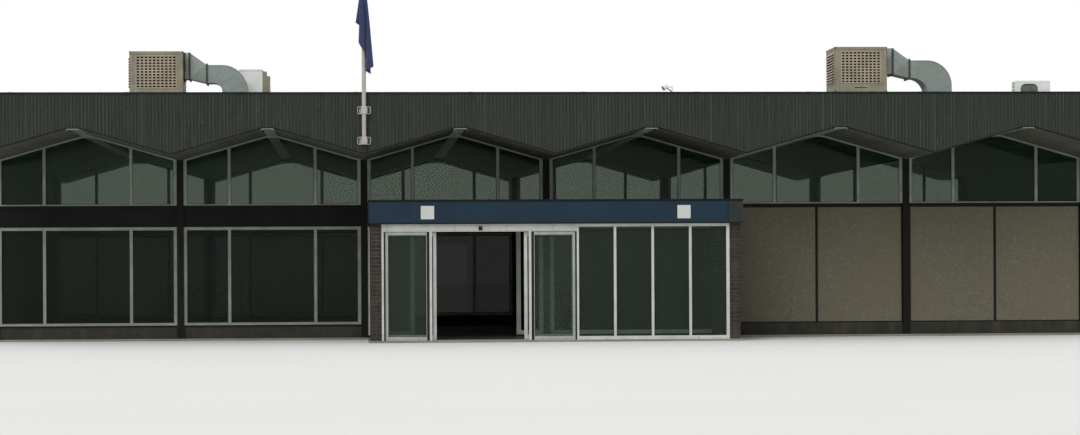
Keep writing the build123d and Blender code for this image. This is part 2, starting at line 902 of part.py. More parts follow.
# Smaller plant: a cabinet with a hood behind the left duct, and an outdoor unit at the right
rear_width, rear_depth, rear_height = rear_unit_size
rear_middle = column_lines[1] + rear_unit_from_column
rear_left = rear_middle - rear_width / 2
rear_right = rear_middle + rear_width / 2
rear_base = deck_top + rear_unit_stand
rear_top = rear_base + rear_height
rear_y = (front_y + rear_unit_setback, front_y + rear_unit_setback + rear_depth)
hood_top = rear_top - hood_drop
with BuildPart() as rear_unit:
    block((rear_left, rear_right), rear_y, (rear_base, rear_top))
    hood = [
        (rear_right, hood_top - hood_height),
        (rear_right + hood_width, hood_top - hood_height),
        (rear_right + hood_width, hood_top - hood_step),
        (rear_right + hood_width / 2, hood_top - hood_step),
        (rear_right + hood_width / 2, hood_top),
        (rear_right, hood_top),
    ]
    prism(hood, rear_y[1], rear_depth)
    add_stand((rear_left, rear_right), rear_y, rear_base)
finish(rear_unit.part, "rear_unit")

condenser_width, condenser_depth, condenser_height = condenser_size
condenser_x = half_length - condenser_from_end
condenser_span = (condenser_x - condenser_width / 2, condenser_x + condenser_width / 2)
condenser_y = (cooler_front, cooler_front + condenser_depth)
condenser_base = deck_top + condenser_stand
condenser_top = condenser_base + condenser_height
with BuildPart() as condenser:
    block(condenser_span, condenser_y, (condenser_base, condenser_top))
    fillet(condenser.edges().filter_by(Axis.Y), condenser_round)
    with BuildSketch(across(cooler_front)) as opening:
        with Locations((condenser_x - fan_offset, condenser_base + condenser_height / 2)):
            RectangleRounded(fan_opening, fan_opening, fan_corner)
    extrude(opening.sketch, amount=fan_recess, dir=(0, 1, 0), mode=Mode.SUBTRACT)
    for n in range(side_slots):
        slot_top = condenser_top - side_slot_margin - side_slot_pitch * n
        block(
            (condenser_span[0], condenser_span[0] + side_slot_depth),
            (condenser_y[0] + side_slot_margin, condenser_y[1] - side_slot_margin),
            (slot_top - side_slot_height, slot_top),
            mode=Mode.SUBTRACT,
        )
    add_stand(condenser_span, condenser_y, condenser_base + condenser_round)
finish(condenser.part, "condenser")

# Lamp on a bent arm that stands on the fascia's capping
lamp_x = column_lines[entrance_bays[-1] + 1] - lamp_from_column
lamp_y = front_edge + capping_width / 2
lamp_base = fascia_top + capping_height
lamp_ball = (lamp_x - lamp_reach, lamp_y, lamp_base + lamp_height)
with BuildPart() as roof_lamp:
    with BuildSketch(Plane.XY.offset(lamp_base)):
        with Locations((lamp_x, lamp_y)):
            Circle(lamp_stem)
    extrude(amount=lamp_height + lamp_stem)
    with BuildSketch(Plane(origin=(lamp_x, lamp_y, lamp_base + lamp_height), z_dir=(-1, 0, 0))) as arm:
        Circle(lamp_stem)
    extrude(arm.sketch, amount=lamp_reach)
    with Locations(lamp_ball):
        Sphere(lamp_radius)
finish(roof_lamp.part, "roof_lamp")
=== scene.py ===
"""Looks of the station building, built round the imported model, in metres."""

import math
import random

import bpy
from mathutils import Matrix, Vector, noise


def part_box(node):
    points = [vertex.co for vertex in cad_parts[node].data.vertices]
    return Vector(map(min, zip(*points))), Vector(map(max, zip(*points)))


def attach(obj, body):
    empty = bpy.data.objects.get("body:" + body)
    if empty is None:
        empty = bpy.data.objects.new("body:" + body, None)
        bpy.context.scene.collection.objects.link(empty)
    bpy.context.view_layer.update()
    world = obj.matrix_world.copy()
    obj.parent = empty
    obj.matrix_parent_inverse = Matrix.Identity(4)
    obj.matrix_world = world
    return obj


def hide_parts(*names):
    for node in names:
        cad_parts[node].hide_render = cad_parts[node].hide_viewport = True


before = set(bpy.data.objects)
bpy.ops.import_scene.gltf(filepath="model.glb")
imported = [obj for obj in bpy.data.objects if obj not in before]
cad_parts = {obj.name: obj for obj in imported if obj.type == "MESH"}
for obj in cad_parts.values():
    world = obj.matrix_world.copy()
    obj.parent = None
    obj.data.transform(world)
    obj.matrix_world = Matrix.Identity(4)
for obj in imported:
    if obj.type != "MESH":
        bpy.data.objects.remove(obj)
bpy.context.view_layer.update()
random.seed(5)

# Sizes that repeat the model's own
BAY = 4.115
BAYS = 6
HALF = BAY * BAYS / 2
COLUMN = 0.15
VALLEY = 4.05
RISE = 0.55
RIDGE_HALF = 0.14
SLOPE_RUN = BAY / 2 - RIDGE_HALF
MULLION_SHARE = 0.234
MULLION = 0.066
JAMB = 0.072
SILL = 0.075
HEAD = 0.048
PANEL_JOINT = 0.06
WINDOW_BAYS = (0, 1)
ENTRANCE_BAYS = (2, 3)
PANEL_BAYS = (4, 5)
BACK_WINDOW_BAYS = WINDOW_BAYS + ENTRANCE_BAYS
COLUMN_LINES = [BAY * n - HALF for n in range(BAYS + 1)]
CENTRES = [BAY * (n + 0.5) - HALF for n in range(BAYS)]


def span(node, axis):
    """Lowest and highest coordinate of a node along an axis, 0 to 2."""
    low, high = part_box(node)
    return low[axis], high[axis]


FRONT_Y = sum(span("front_columns", 1)) / 2
BACK_Y = sum(span("back_columns", 1)) / 2
FRONT_EDGE = span("front_fascia", 1)[0]
BACK_EDGE = span("back_fascia", 1)[1]
FASCIA_HALF = span("front_fascia", 0)[1]
ROOF_HALF = span("right_party_wall", 0)[1]
HALL_HALF = span("floor_slab", 0)[1]
FLOOR_TOP = span("floor_slab", 2)[1]
DECK_TOP = span("roof_deck", 2)[1]
INNER_FRONT, INNER_BACK = span("roof_deck", 1)


def bay_span(index):
    """Left and right of the opening between a bay's columns."""
    return COLUMN_LINES[index] + COLUMN / 2, COLUMN_LINES[index + 1] - COLUMN / 2


# Geometry helpers
UP = (0, 0, 1)
FORWARD = (0, -1, 0)
WELD_DIGITS = 4
SHARPEST_TURN = 0.2


class Side:
    """An upright face: u runs along it, w up and v out of it."""

    def __init__(self, origin, along, out):
        self.origin = Vector(origin)
        self.along = Vector(along)
        self.out = Vector(out)

    def at(self, u, w, v):
        point = self.origin + self.along * u + self.out * v
        return (point.x, point.y, point.z + w)


def front_side(y):
    return Side((0, y, 0), (1, 0, 0), (0, -1, 0))


def back_side(y):
    return Side((0, y, 0), (-1, 0, 0), (0, 1, 0))


def left_side(x):
    return Side((x, 0, 0), (0, -1, 0), (-1, 0, 0))


def right_side(x):
    return Side((x, 0, 0), (0, 1, 0), (1, 0, 0))


WORLD = front_side(0)


class Pile:
    """Faces collected for one mesh piece, each with a tone from 0 to 1."""

    def __init__(self):
        self.verts = []
        self.faces = []
        self.tones = []

    def add(self, points, faces, tone):
        first = len(self.verts)
        self.verts.extend(points)
        for face in faces:
            self.faces.append([first + i for i in face])
            self.tones.append(tone)

    def hexa(self, back, front, tone=0.5, closed=True):
        """A six-sided solid from its back and front corners, both anticlockwise from outside."""
        faces = [(4, 5, 6, 7), (5, 1, 2, 6), (0, 4, 7, 3), (7, 6, 2, 3), (0, 1, 5, 4)]
        if closed:
            faces.append((1, 0, 3, 2))
        self.add(list(back) + list(front), faces, tone)

    def plate(self, side, quad, v, tone=0.5):
        """A six-sided solid from four corners in u and w, between two depths."""
        back, front = ([side.at(a, b, depth) for a, b in quad] for depth in v)
        self.hexa(back, front, tone)

    def slab(self, side, u, w, v, chamfer=0, tone=0.5, closed=True):
        """A box on a side, its front edges cut back by chamfer."""

        def ring(depth, cut):
            u0, u1, w0, w1 = u[0] + cut, u[1] - cut, w[0] + cut, w[1] - cut
            return [side.at(*corner, depth) for corner in ((u0, w0), (u1, w0), (u1, w1), (u0, w1))]

        if not chamfer:
            self.hexa(ring(v[0], 0), ring(v[1], 0), tone, closed)
            return
        points = ring(v[0], 0) + ring(v[1] - chamfer, 0) + ring(v[1], chamfer)
        faces = [(8, 9, 10, 11)]
        for first in (0, 4):
            for n in range(4):
                m = (n + 1) % 4
                faces.append((first + n, first + m, first + 4 + m, first + 4 + n))
        if closed:
            faces.append((3, 2, 1, 0))
        self.add(points, faces, tone)

    def box(self, x, y, z, tone=0.5):
        """A box along the world's axes."""
        self.slab(WORLD, x, z, (-y[1], -y[0]), tone=tone)

    def prism(self, side, outline, v, tone=0.5):
        """A solid with an outline in u and w, anticlockwise from outside."""
        count = len(outline)
        points = [side.at(a, b, depth) for depth in v for a, b in outline]
        faces = [tuple(range(count, 2 * count)), tuple(reversed(range(count)))]
        for n in range(count):
            m = (n + 1) % count
            faces.append((n, m, count + m, count + n))
        self.add(points, faces, tone)

    def ring(self, side, outline, width, v, tone=0.5):
        """A frame that runs round the inside of an outline."""
        inner = inset(outline, width)
        count = len(outline)
        for n in range(count):
            m = (n + 1) % count
            self.plate(side, (outline[n], outline[m], inner[m], inner[n]), v, tone)

    def rod(self, start, end, radius, sides=10, tone=0.5, end_radius=None):
        """A round bar between two points."""
        start, end = Vector(start), Vector(end)
        axis = (end - start).normalized()
        across = axis.orthogonal().normalized()
        other = axis.cross(across)
        last = radius if end_radius is None else end_radius
        points = []
        for centre, size in ((start, radius), (end, last)):
            for n in range(sides):
                angle = 2 * math.pi * n / sides
                reached = centre + across * size * math.cos(angle)
                points.append(tuple(reached + other * size * math.sin(angle)))
        faces = [tuple(reversed(range(sides))), tuple(range(sides, 2 * sides))]
        for n in range(sides):
            m = (n + 1) % sides
            faces.append((n, m, sides + m, sides + n))
        self.add(points, faces, tone)

    def dome(self, centre, radius, out, sides=10, rings=3, flat=0.6, tone=0.5):
        """A low rounded head that stands out from a surface."""
        centre, out = Vector(centre), Vector(out).normalized()
        across = out.orthogonal().normalized()
        other = out.cross(across)
        points = []
        for k in range(rings):
            angle = math.pi / 2 * k / rings
            for n in range(sides):
                turn = 2 * math.pi * n / sides
                spoke = across * math.cos(turn) + other * math.sin(turn)
                foot = centre + spoke * radius * math.cos(angle)
                points.append(tuple(foot + out * radius * flat * math.sin(angle)))
        points.append(tuple(centre + out * radius * flat))
        faces = [tuple(reversed(range(sides)))]
        for k in range(rings - 1):
            for n in range(sides):
                m = (n + 1) % sides
                faces.append((k * sides + n, k * sides + m, (k + 1) * sides + m, (k + 1) * sides + n))
        top = rings * sides
        for n in range(sides):
            faces.append(((rings - 1) * sides + n, (rings - 1) * sides + (n + 1) % sides, top))
        self.add(points, faces, tone)

    def bolt(self, centre, radius, out, tone=1):
        """A six-sided bolt head."""
        self.dome(centre, radius, out, sides=6, rings=2, tone=tone)


def islands(node):
    """Low and high corners of each separate solid of a node, from left to right."""
    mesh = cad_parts[node].data
    places = [tuple(round(level, WELD_DIGITS) for level in vertex.co) for vertex in mesh.vertices]
    parent = {place: place for place in places}

    def root(place):
        while parent[place] != place:
            parent[place] = parent[parent[place]]
            place = parent[place]
        return place

    for edge in mesh.edges:
        a, b = (root(places[i]) for i in edge.vertices)
        parent[a] = b
    corners = {}
    for place in set(places):
        low, high = corners.setdefault(root(place), (Vector(place), Vector(place)))
        for axis in range(3):
            low[axis] = min(low[axis], place[axis])
            high[axis] = max(high[axis], place[axis])
    return sorted(corners.values(), key=lambda pair: (pair[0].x, pair[0].z))


def inset(outline, width):
    """The outline moved inward by a width, for an anticlockwise outline."""
    moved = []
    count = len(outline)
    for n in range(count):
        before = Vector(outline[n - 1])
        here = Vector(outline[n])
        after = Vector(outline[(n + 1) % count])
        first = (here - before).normalized()
        second = (after - here).normalized()
        normal_a = Vector((-first.y, first.x))
        normal_b = Vector((-second.y, second.x))
        bisector = (normal_a + normal_b).normalized()
        reach = width / max(bisector.dot(normal_a), SHARPEST_TURN)
        moved.append(tuple(here + bisector * reach))
    return moved


def rectangle(u, w):
    """Outline of a rectangle from its two spans, anticlockwise."""
    return [(u[0], w[0]), (u[1], w[0]), (u[1], w[1]), (u[0], w[1])]


def mirrored(outline):
    """An outline as it is seen from the other side."""
    return [(-a, b) for a, b in reversed(outline)]


def about(middle, half):
    """The span that reaches as far to both sides of a middle."""
    return middle - half, middle + half


def flipped(pair, sign):
    """A span as it is, or mirrored when the sign is negative."""
    return sorted((sign * pair[0], sign * pair[1]))


def dress(mesh, name, material, body="building"):
    """Makes one named object of a mesh, riding on a body."""
    mesh.materials.append(material)
    mesh.update()
    made = bpy.data.objects.new(name, mesh)
    bpy.context.scene.collection.objects.link(made)
    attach(made, body)


def piece(pile, name, material, body="building"):
    """Makes one named object of a pile."""
    mesh = bpy.data.meshes.new(name)
    mesh.from_pydata(pile.verts, [], pile.faces)
    tone = mesh.attributes.new("tone", "FLOAT", "FACE")
    tone.data.foreach_set("value", pile.tones)
    dress(mesh, name, material, body)


# Material helpers
def srgb(red, green, blue):
    """Linear colour of an 8-bit display colour."""
    linear = []
    for level in (red, green, blue):
        share = level / 255
        linear.append(share / 12.92 if share <= 0.04045 else ((share + 0.055) / 1.055) ** 2.4)
    return (*linear, 1)


class Shader:
    """A node material built step by step."""

    def __init__(self, name):
        self.material = bpy.data.materials.new(name)
        self.material.use_nodes = True
        self.tree = self.material.node_tree
        self.shader = self.tree.nodes["Principled BSDF"]
        self.coord = self.node("ShaderNodeTexCoord").outputs["Object"]

    def node(self, kind, **levels):
        """A new node, with levels set on its inputs by their names."""
        made = self.tree.nodes.new(kind)
        for name, level in levels.items():
            made.inputs[name.replace("_", " ")].default_value = level
        return made

    def link(self, source, target):
        self.tree.links.new(source, target)

    def place(self, texture, stretch=None):
        """Gives a texture the object's coordinates, scaled by a vector if there is one."""
        source = self.coord
        if stretch:
            mapping = self.node("ShaderNodeMapping", Scale=stretch)
            self.link(source, mapping.inputs["Vector"])
            source = mapping.outputs["Vector"]
        self.link(source, texture.inputs["Vector"])

    def noise(self, scale, detail=4, rough=0.55, stretch=None, distortion=0):
        """Soft noise from 0 to 1."""
        texture = self.node("ShaderNodeTexNoise", Scale=scale, Detail=detail, Roughness=rough,
                            Distortion=distortion)
        self.place(texture, stretch)
        return texture.outputs["Fac"]

    def pattern(self, kind):
        """An attribute by its name, noise by its settings, or the colours of cells by their scale."""
        if isinstance(kind, str):
            attribute = self.node("ShaderNodeAttribute")
            attribute.attribute_name = kind
            return attribute.outputs["Fac"]
        if isinstance(kind, tuple):
            return self.noise(*kind)
        cells = self.node("ShaderNodeTexVoronoi", Scale=kind)
        self.place(cells)
        return cells.outputs["Color"]

    def spread(self, value, low, high, to_low=0, to_high=1):
        """Maps a range of a value onto another, held at both ends."""
        node = self.node("ShaderNodeMapRange", From_Min=low, From_Max=high, To_Min=to_low, To_Max=to_high)
        self.link(value, node.inputs["Value"])
        return node.outputs["Result"]

    def blend(self, factor, first, second):
        """Mixes two colours, each a colour or a socket, by a factor."""
        node = self.node("ShaderNodeMix")
        node.data_type = "RGBA"
        for place, value in zip(MIX_INPUTS, (factor, first, second)):
            if hasattr(value, "links"):
                self.link(value, node.inputs[place])
            else:
                node.inputs[place].default_value = value
        return node.outputs[MIX_RESULT]

    def layer(self, base, value, low, high, share, colour):
        """A colour over a base where a value is high, up to a share."""
        return self.blend(self.spread(value, low, high, 0, share), base, srgb(*colour))

    def colour(self, value):
        self.link(value, self.shader.inputs["Base Color"])

    def rough(self, value):
        self.link(value, self.shader.inputs["Roughness"])

    def bump(self, value, distance, strength):
        node = self.node("ShaderNodeBump", Distance=distance, Strength=strength)
        self.link(value, node.inputs["Height"])
        self.link(node.outputs["Normal"], self.shader.inputs["Normal"])

    def set(self, **levels):
        """Levels that are the same all over, on the shader's own sockets."""
        for name, level in levels.items():
            self.shader.inputs[name.replace("_", " ")].default_value = level


# Places of the colour inputs and the colour result on a mix node
MIX_INPUTS = (0, 6, 7)
MIX_RESULT = 2
NOISE_MIDDLE = (0.3, 0.7)


def surface(name, main, layers, rough, bump, rough_from=NOISE_MIDDLE, **levels):
    """A main colour with layers over it.

    Each layer has a pattern, the two levels between which it appears, its greatest share and
    its colour. Rough has a pattern and two roughnesses, bump a pattern, a distance and a strength.
    """
    shade = Shader(name)
    base = srgb(*main)
    for kind, low, high, share, colour in layers:
        base = shade.layer(base, shade.pattern(kind), low, high, share, colour)
    shade.colour(base)
    shade.rough(shade.spread(shade.pattern(rough[0]), *rough_from, *rough[1:]))
    shade.bump(shade.pattern(bump[0]), *bump[1:])
    shade.set(**levels)
    return shade.material


RAIN_STREAKS = (5, 5, 0.6, (1.6, 1.6, 0.16))


def painted(name, main, second, rough=(0.4, 0.55), patch=3.0, streak=0.35, dirt=None, grain=90,
            metallic=0.0, gloss=0.5):
    """Painted or weathered sheet: two close shades, rain streaks, dirt and a fine grain."""
    layers = [((patch, 6), 0.35, 0.65, 1, second), ("tone", 0, 1, 0.55, second)]
    if dirt:
        layers.append((RAIN_STREAKS, 0.52, 0.78, streak, dirt))
    return surface(name, main, layers, ((patch * 3, 5), *rough), ((grain, 3), 0.0006, 0.5),
                   Metallic=metallic, Specular_IOR_Level=gloss)


PANE_SHARE = 0.1
PANE_ALPHA = 0.5
PANE_GLOSS = 0.8
PANE_INDEX = 1.7
PANE_SMEAR = 25
PANE_HUE = (0.94, 1.0, 0.94)


def glass(name, tint, clear):
    """Thin tinted pane with a faint reflecting film.

    Clear is the share of light that its body lets through a face.
    """
    shade = Shader(name)
    smear = shade.spread(shade.noise(1.2, 5, stretch=(1, 1, 0.3)), 0.45, 0.75)
    shade.colour(shade.blend(smear, srgb(*tint), srgb(*[level + PANE_SMEAR for level in tint])))
    shade.rough(shade.spread(shade.noise(2.5, 5), 0.35, 0.8, 0.015, 0.06))
    shade.set(Alpha=PANE_ALPHA, IOR=PANE_INDEX, Specular_IOR_Level=PANE_GLOSS)
    body = shade.node("ShaderNodeBsdfTransparent", Color=(*[clear * share for share in PANE_HUE], 1))
    pane = shade.node("ShaderNodeMixShader", Fac=PANE_SHARE)
    shade.link(body.outputs["BSDF"], pane.inputs[1])
    shade.link(shade.shader.outputs["BSDF"], pane.inputs[2])
    shade.link(pane.outputs["Shader"], shade.tree.nodes["Material Output"].inputs["Surface"])
    return shade.material


# Materials
black_steel = painted("black_steel", (13, 15, 13), (19, 20, 17), (0.55, 0.7), dirt=(44, 42, 36),
                      streak=0.22, gloss=0.14)
grey_frame = painted("grey_aluminium", (137, 144, 133), (117, 124, 113), (0.4, 0.55), dirt=(88, 90, 80),
                     streak=0.35, metallic=0.3, gloss=0.4)
silver_frame = painted("silver_aluminium", (192, 194, 190), (174, 177, 172), (0.34, 0.48),
                       dirt=(140, 138, 130), streak=0.3, metallic=0.35)
black_panel = painted("black_panel", (9, 12, 9), (14, 16, 13), (0.45, 0.6), patch=0.9, dirt=(36, 37, 31),
                      streak=0.15, gloss=0.12)
plinth_paint = painted("plinth_render", (44, 45, 40), (56, 55, 49), (0.8, 0.92), dirt=(84, 79, 66),
                       grain=45, gloss=0.2)
navy_paint = painted("navy_sign", (17, 38, 53), (21, 43, 59), (0.4, 0.5), patch=1.2, dirt=(48, 63, 76),
                     streak=0.2, gloss=0.18)
beige_enamel = painted("beige_metal", (150, 143, 124), (131, 124, 107), (0.5, 0.65), dirt=(104, 95, 80),
                       streak=0.5, gloss=0.3)
cream_enamel = painted("louvre_cream", (171, 161, 140), (150, 141, 122), (0.45, 0.6), dirt=(126, 110, 88),
                       streak=0.35, gloss=0.35)
# Sidelight frames: a darker copy of the silver aluminium, painted shade on the recessed frames
sidelight_frame = painted("sidelight_aluminium_painted_shade", (160, 164, 160), (144, 148, 143), (0.36, 0.5),
                          dirt=(112, 112, 104), streak=0.3, metallic=0.3)
plate_enamel = painted("sign_plate", (192, 193, 190), (182, 183, 179), (0.35, 0.5), patch=1.5,
                       dirt=(150, 150, 142), streak=0.2)
sign_end_paint = painted("sign_end_paint", (38, 46, 45), (33, 40, 39), (0.5, 0.6), patch=1.2,
                         dirt=(66, 70, 66), streak=0.2, gloss=0.18)
pole_enamel = painted("pole_enamel", (170, 168, 163), (154, 151, 145), (0.35, 0.5), dirt=(118, 113, 103),
                      streak=0.35)
plant_enamel = painted("plant_enamel", (223, 226, 224), (209, 211, 207), (0.35, 0.5), dirt=(150, 148, 136),
                       streak=0.35)
# Pale cream for the grilles and battens inside the hall, much lighter than the grey ones outside: painted
# light
hall_grille_painted_light = painted("hall_grille_painted_light", (236, 230, 208), (220, 214, 190), (0.5, 0.6), dirt=(180, 172, 150),
                     streak=0.2)
capping_paint = painted("capping_paint", (17, 29, 31), (14, 24, 26), (0.5, 0.6), dirt=(52, 60, 58),
                        streak=0.3, gloss=0.16)
rubber = painted("gasket_rubber", (16, 17, 16), (24, 24, 23), (0.65, 0.8), grain=60, gloss=0.25)
dark_metal = painted("dark_metal", (44, 46, 45), (58, 58, 55), (0.5, 0.65), dirt=(84, 76, 64), metallic=0.3)
wet_pad = painted("wet_pad", (36, 29, 22), (48, 39, 30), (0.85, 0.95), patch=9, grain=40, gloss=0.15)
clerestory_glass = glass("window_glass", (90, 131, 101), 0.719)
# The back panes and the inner screen are darker and far less clear than the front and door panes: painted
# shade that keeps the hall and lobby dark
back_clerestory_glass = glass("back_clerestory_glass", (79, 117, 90), 0.369)
window_glass = glass("window_glass_low", (84, 104, 88), 0.5)
back_glass = glass("back_window_glass", (61, 87, 72), 0.095)
door_glass = glass("door_glass", (116, 136, 120), 0.77)
screen_glass = glass("screen_glass", (74, 90, 78), 0.128)


# Dark charcoal boards: each rib differs a little, with pale flecks and rain streaks
fascia_face = surface(
    "ribbed_fascia", (40, 46, 41),
    (
        ("tone", 0, 1, 1, (55, 61, 55)),
        ((1.3, 6), 0.35, 0.7, 1, (48, 51, 44)),
        ((7, 6, 0.65, (3, 3, 0.22)), 0.55, 0.8, 0.45, (88, 89, 80)),
        ((26, 3, 0.5, (1, 1, 0.5)), 0.7, 0.78, 0.5, (128, 127, 115)),
    ),
    rough=((8, 4), 0.6, 0.8), bump=((70, 4, 0.55, (1, 1, 0.25)), 0.001, 0.6), Specular_IOR_Level=0.22,
)
# Dark olive boards
soffit_face = surface(
    "soffit_board", (62, 66, 57),
    (
        ("tone", 0, 1, 1, (76, 79, 69)),
        ((1.1, 5), 0.4, 0.7, 1, (81, 82, 71)),
        ((5, 5), 0.62, 0.8, 0.5, (50, 48, 42)),
    ),
    rough=((9, 4), 0.6, 0.8), bump=((40, 4, 0.55, (1, 0.2, 1)), 0.001, 0.5), Specular_IOR_Level=0.25,
)
# Dark brown-red brick, one tone to a brick
brick = surface(
    "brick_face", (35, 33, 29),
    (
        ("tone", 0, 1, 1, (60, 52, 45)),
        ((14, 5), 0.4, 0.7, 1, (42, 39, 35)),
        ((60, 4), 0.6, 0.75, 0.5, (92, 82, 71)),
        ((1.1, 4), 0.55, 0.75, 0.25, (112, 104, 90)),
    ),
    rough=((30, 4), 0.75, 0.95), bump=((120, 5), 0.0025, 0.8), Specular_IOR_Level=0.25,
)
mortar = surface(
    "brick_mortar", (74, 73, 66),
    (((9, 6), 0, 1, 1, (98, 95, 86)), ((1.4, 4), 0.45, 0.7, 0.6, (70, 67, 59))),
    rough=((30, 4), 0.85, 0.98), bump=((220, 4), 0.002, 0.8),
)
# Pebbles in a brown-grey matrix; each pebble has its own tone. The colours are kept near their look in the
# overhang's shade, a little darker than their own: partly painted shade
aggregate = surface(
    "aggregate", (96, 92, 78),
    (
        ("pebble", 0, 0.55, 1, (106, 102, 88)),
        ("pebble", 0.55, 1, 0.5, (120, 115, 100)),
        ((0.9, 5), 0.4, 0.7, 0.5, (98, 92, 75)),
        ((4, 5, 0.55, (1, 1, 0.2)), 0.6, 0.85, 0.35, (76, 72, 61)),
    ),
    rough=("pebble", 0.7, 0.92), bump=((300, 4), 0.0012, 0.7), rough_from=(0, 1), Specular_IOR_Level=0.25,
)
concrete = surface(
    "concrete", (132, 126, 114),
    (((0.8, 6), 0.35, 0.7, 1, (112, 108, 100)), ((7, 6), 0.55, 0.8, 0.6, (92, 88, 82))),
    rough=((5, 5), 0.55, 0.85), bump=((90, 5), 0.001, 0.6),
)
# Grey roof sheet with pale dust and darker puddle rings
membrane = surface(
    "roof_membrane", (118, 117, 112),
    (((0.35, 6), 0.4, 0.62, 1, (146, 143, 134)), ((2.4, 6, 0.6), 0.56, 0.66, 0.6, (96, 92, 84))),
    rough=((3, 4), 0.7, 0.9), bump=((260, 3), 0.0015, 0.6),
)
# Dull zinc sheet with spangle and white bloom
galvanised = surface(
    "galvanised_metal", (128, 138, 134),
    (
        (38, 0.2, 0.9, 0.35, (152, 160, 155)),
        ((3.2, 6), 0.45, 0.7, 0.6, (120, 124, 116)),
        ((5, 5, 0.55, (1, 1, 0.2)), 0.58, 0.8, 0.5, (176, 180, 174)),
    ),
    rough=((12, 4), 0.42, 0.62), bump=((5, 2), 0.004, 0.4), Metallic=0.55,
)
# Dark grey-green tile with a marbled fleck and scuffs
floor_tile = surface(
    "floor_tile", (52, 58, 53),
    (
        ("tone", 0, 1, 1, (68, 74, 68)),
        ((9, 6, 0.55, None, 1.5), 0.5, 0.7, 0.5, (92, 97, 89)),
        ((1.6, 5), 0.55, 0.8, 0.4, (84, 80, 70)),
    ),
    rough=((4, 5), 0.32, 0.6), bump=((150, 3), 0.0004, 0.4),
)
THREADS = 160


def flag_cloth():
    """Navy woven bunting."""
    shade = Shader("navy_cloth")
    crossing = shade.node("ShaderNodeMath")
    crossing.operation = "MULTIPLY"
    for direction, socket in zip(("X", "Z"), crossing.inputs):
        weave = shade.node("ShaderNodeTexWave", Scale=THREADS)
        weave.bands_direction = direction
        shade.place(weave)
        shade.link(weave.outputs["Fac"], socket)
    threads = crossing.outputs["Value"]
    base = shade.layer(srgb(23, 33, 70), shade.noise(3, 5), 0.35, 0.7, 1, (35, 47, 90))
    shade.colour(shade.layer(base, threads, 0, 1, 0.35, (58, 71, 112)))
    shade.rough(shade.spread(shade.noise(20, 3), *NOISE_MIDDLE, 0.75, 0.9))
    shade.bump(threads, 0.0006, 0.6)
    shade.set(Sheen_Weight=0.25)
    return shade.material


cloth = flag_cloth()

NODE_MATERIALS = (
    (concrete, "floor_slab"),
    (black_steel, "front_columns back_columns sign_capping"),
    (mortar, "left_party_wall right_party_wall entrance_left_wall entrance_right_wall"),
    (soffit_face, "soffit_left_slopes soffit_right_slopes"),
    (black_panel, "ridge_strips front_spandrels back_spandrels panel_backing_walls"),
    (fascia_face, "front_fascia back_fascia left_fascia right_fascia fascia_capping"),
    (membrane, "roof_deck entrance_roof"),
    (grey_frame,
     "front_clerestory_frames back_clerestory_frames front_window_frames back_window_frames"),
    (clerestory_glass, "front_clerestory_glass"),
    (back_clerestory_glass, "back_clerestory_glass"),
    (window_glass, "front_window_glass"),
    (back_glass, "back_window_glass"),
    (plinth_paint, "front_plinths back_plinths"),
    (aggregate, "front_aggregate_panels back_aggregate_panels"),
    (navy_paint, "sign_band"),
    (sign_end_paint, "sign_end"),
    (silver_frame, "entrance_posts entrance_rails door_header inner_screen_frames"),
    (silver_frame, "left_leaf_frame right_leaf_frame"),
    (sidelight_frame, "sidelight_frames"),
    (door_glass, "entrance_glass left_leaf_glass right_leaf_glass"),
    (screen_glass, "inner_screen_glass"),
    (pole_enamel, "flagpole flagpole_brackets"),
    (cloth, "flag"),
    (beige_enamel, "cooler_cabinets"),
    (cream_enamel, "cooler_louvres"),
    (galvanised, "cooler_ducts"),
    (plant_enamel, "rear_unit condenser roof_lamp"),
)
for material, node_names in NODE_MATERIALS:
    for node_name in node_names.split():
        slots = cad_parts[node_name].data.materials
        slots.clear()
        slots.append(material)


# Folded roof line
def soffit_at(x):
    """Height of the soffit's underside; level past the end columns."""
    if abs(x) >= HALF:
        return VALLEY
    offset = (x + HALF) % BAY - BAY / 2
    run = max(abs(offset) - RIDGE_HALF, 0)
    return VALLEY + RISE * (1 - run / SLOPE_RUN)


# Ribbed fascia: upright battens on all four sides, with paler cover strips at the sheet joints
RIB_PITCH = 0.075
RIB_WIDTH = 0.036
RIB_DEPTH = 0.018
RIB_TAPER = 0.005
RIB_TOP_GAP = 0.018
CAPPING_TOP = span("fascia_capping", 2)[1]
RIB_TOP = CAPPING_TOP - RIB_TOP_GAP
SHEET_WIDTH = 2.438
JOINT_LINE = COLUMN_LINES[5]
JOINT_WIDTH = 0.05
JOINT_DEPTH = 0.012
JOINT_TONE = 1.6
SIDE_HALF = (BACK_EDGE - FRONT_EDGE) / 2


def level_foot(u):
    """The lower edge of a side fascia, which has no folds."""
    return VALLEY


FASCIA_SIDES = (
    ("front", front_side(FRONT_EDGE), FASCIA_HALF, soffit_at, JOINT_LINE),
    ("back", back_side(BACK_EDGE), FASCIA_HALF, soffit_at, -JOINT_LINE),
    ("left", left_side(-FASCIA_HALF), SIDE_HALF, level_foot, 0),
    ("right", right_side(FASCIA_HALF), SIDE_HALF, level_foot, 0),
)


def add_rib(pile, side, u, width, depth, foot, tone):
    """One upright batten whose foot follows the fascia's lower edge."""
    rings = []
    for half, out in ((width / 2, 0), (width / 2 - RIB_TAPER, depth)):
        left, right = about(u, half)
        corners = ((left, foot(left)), (right, foot(right)), (right, RIB_TOP), (left, RIB_TOP))
        rings.append([side.at(a, b, out) for a, b in corners])
    pile.hexa(*rings, tone, closed=False)


def joint_lines(half, origin):
    """Places of the sheet joints along a side."""
    first = math.ceil((-half - origin) / SHEET_WIDTH)
    last = math.floor((half - origin) / SHEET_WIDTH)
    return [origin + n * SHEET_WIDTH for n in range(first, last + 1)]


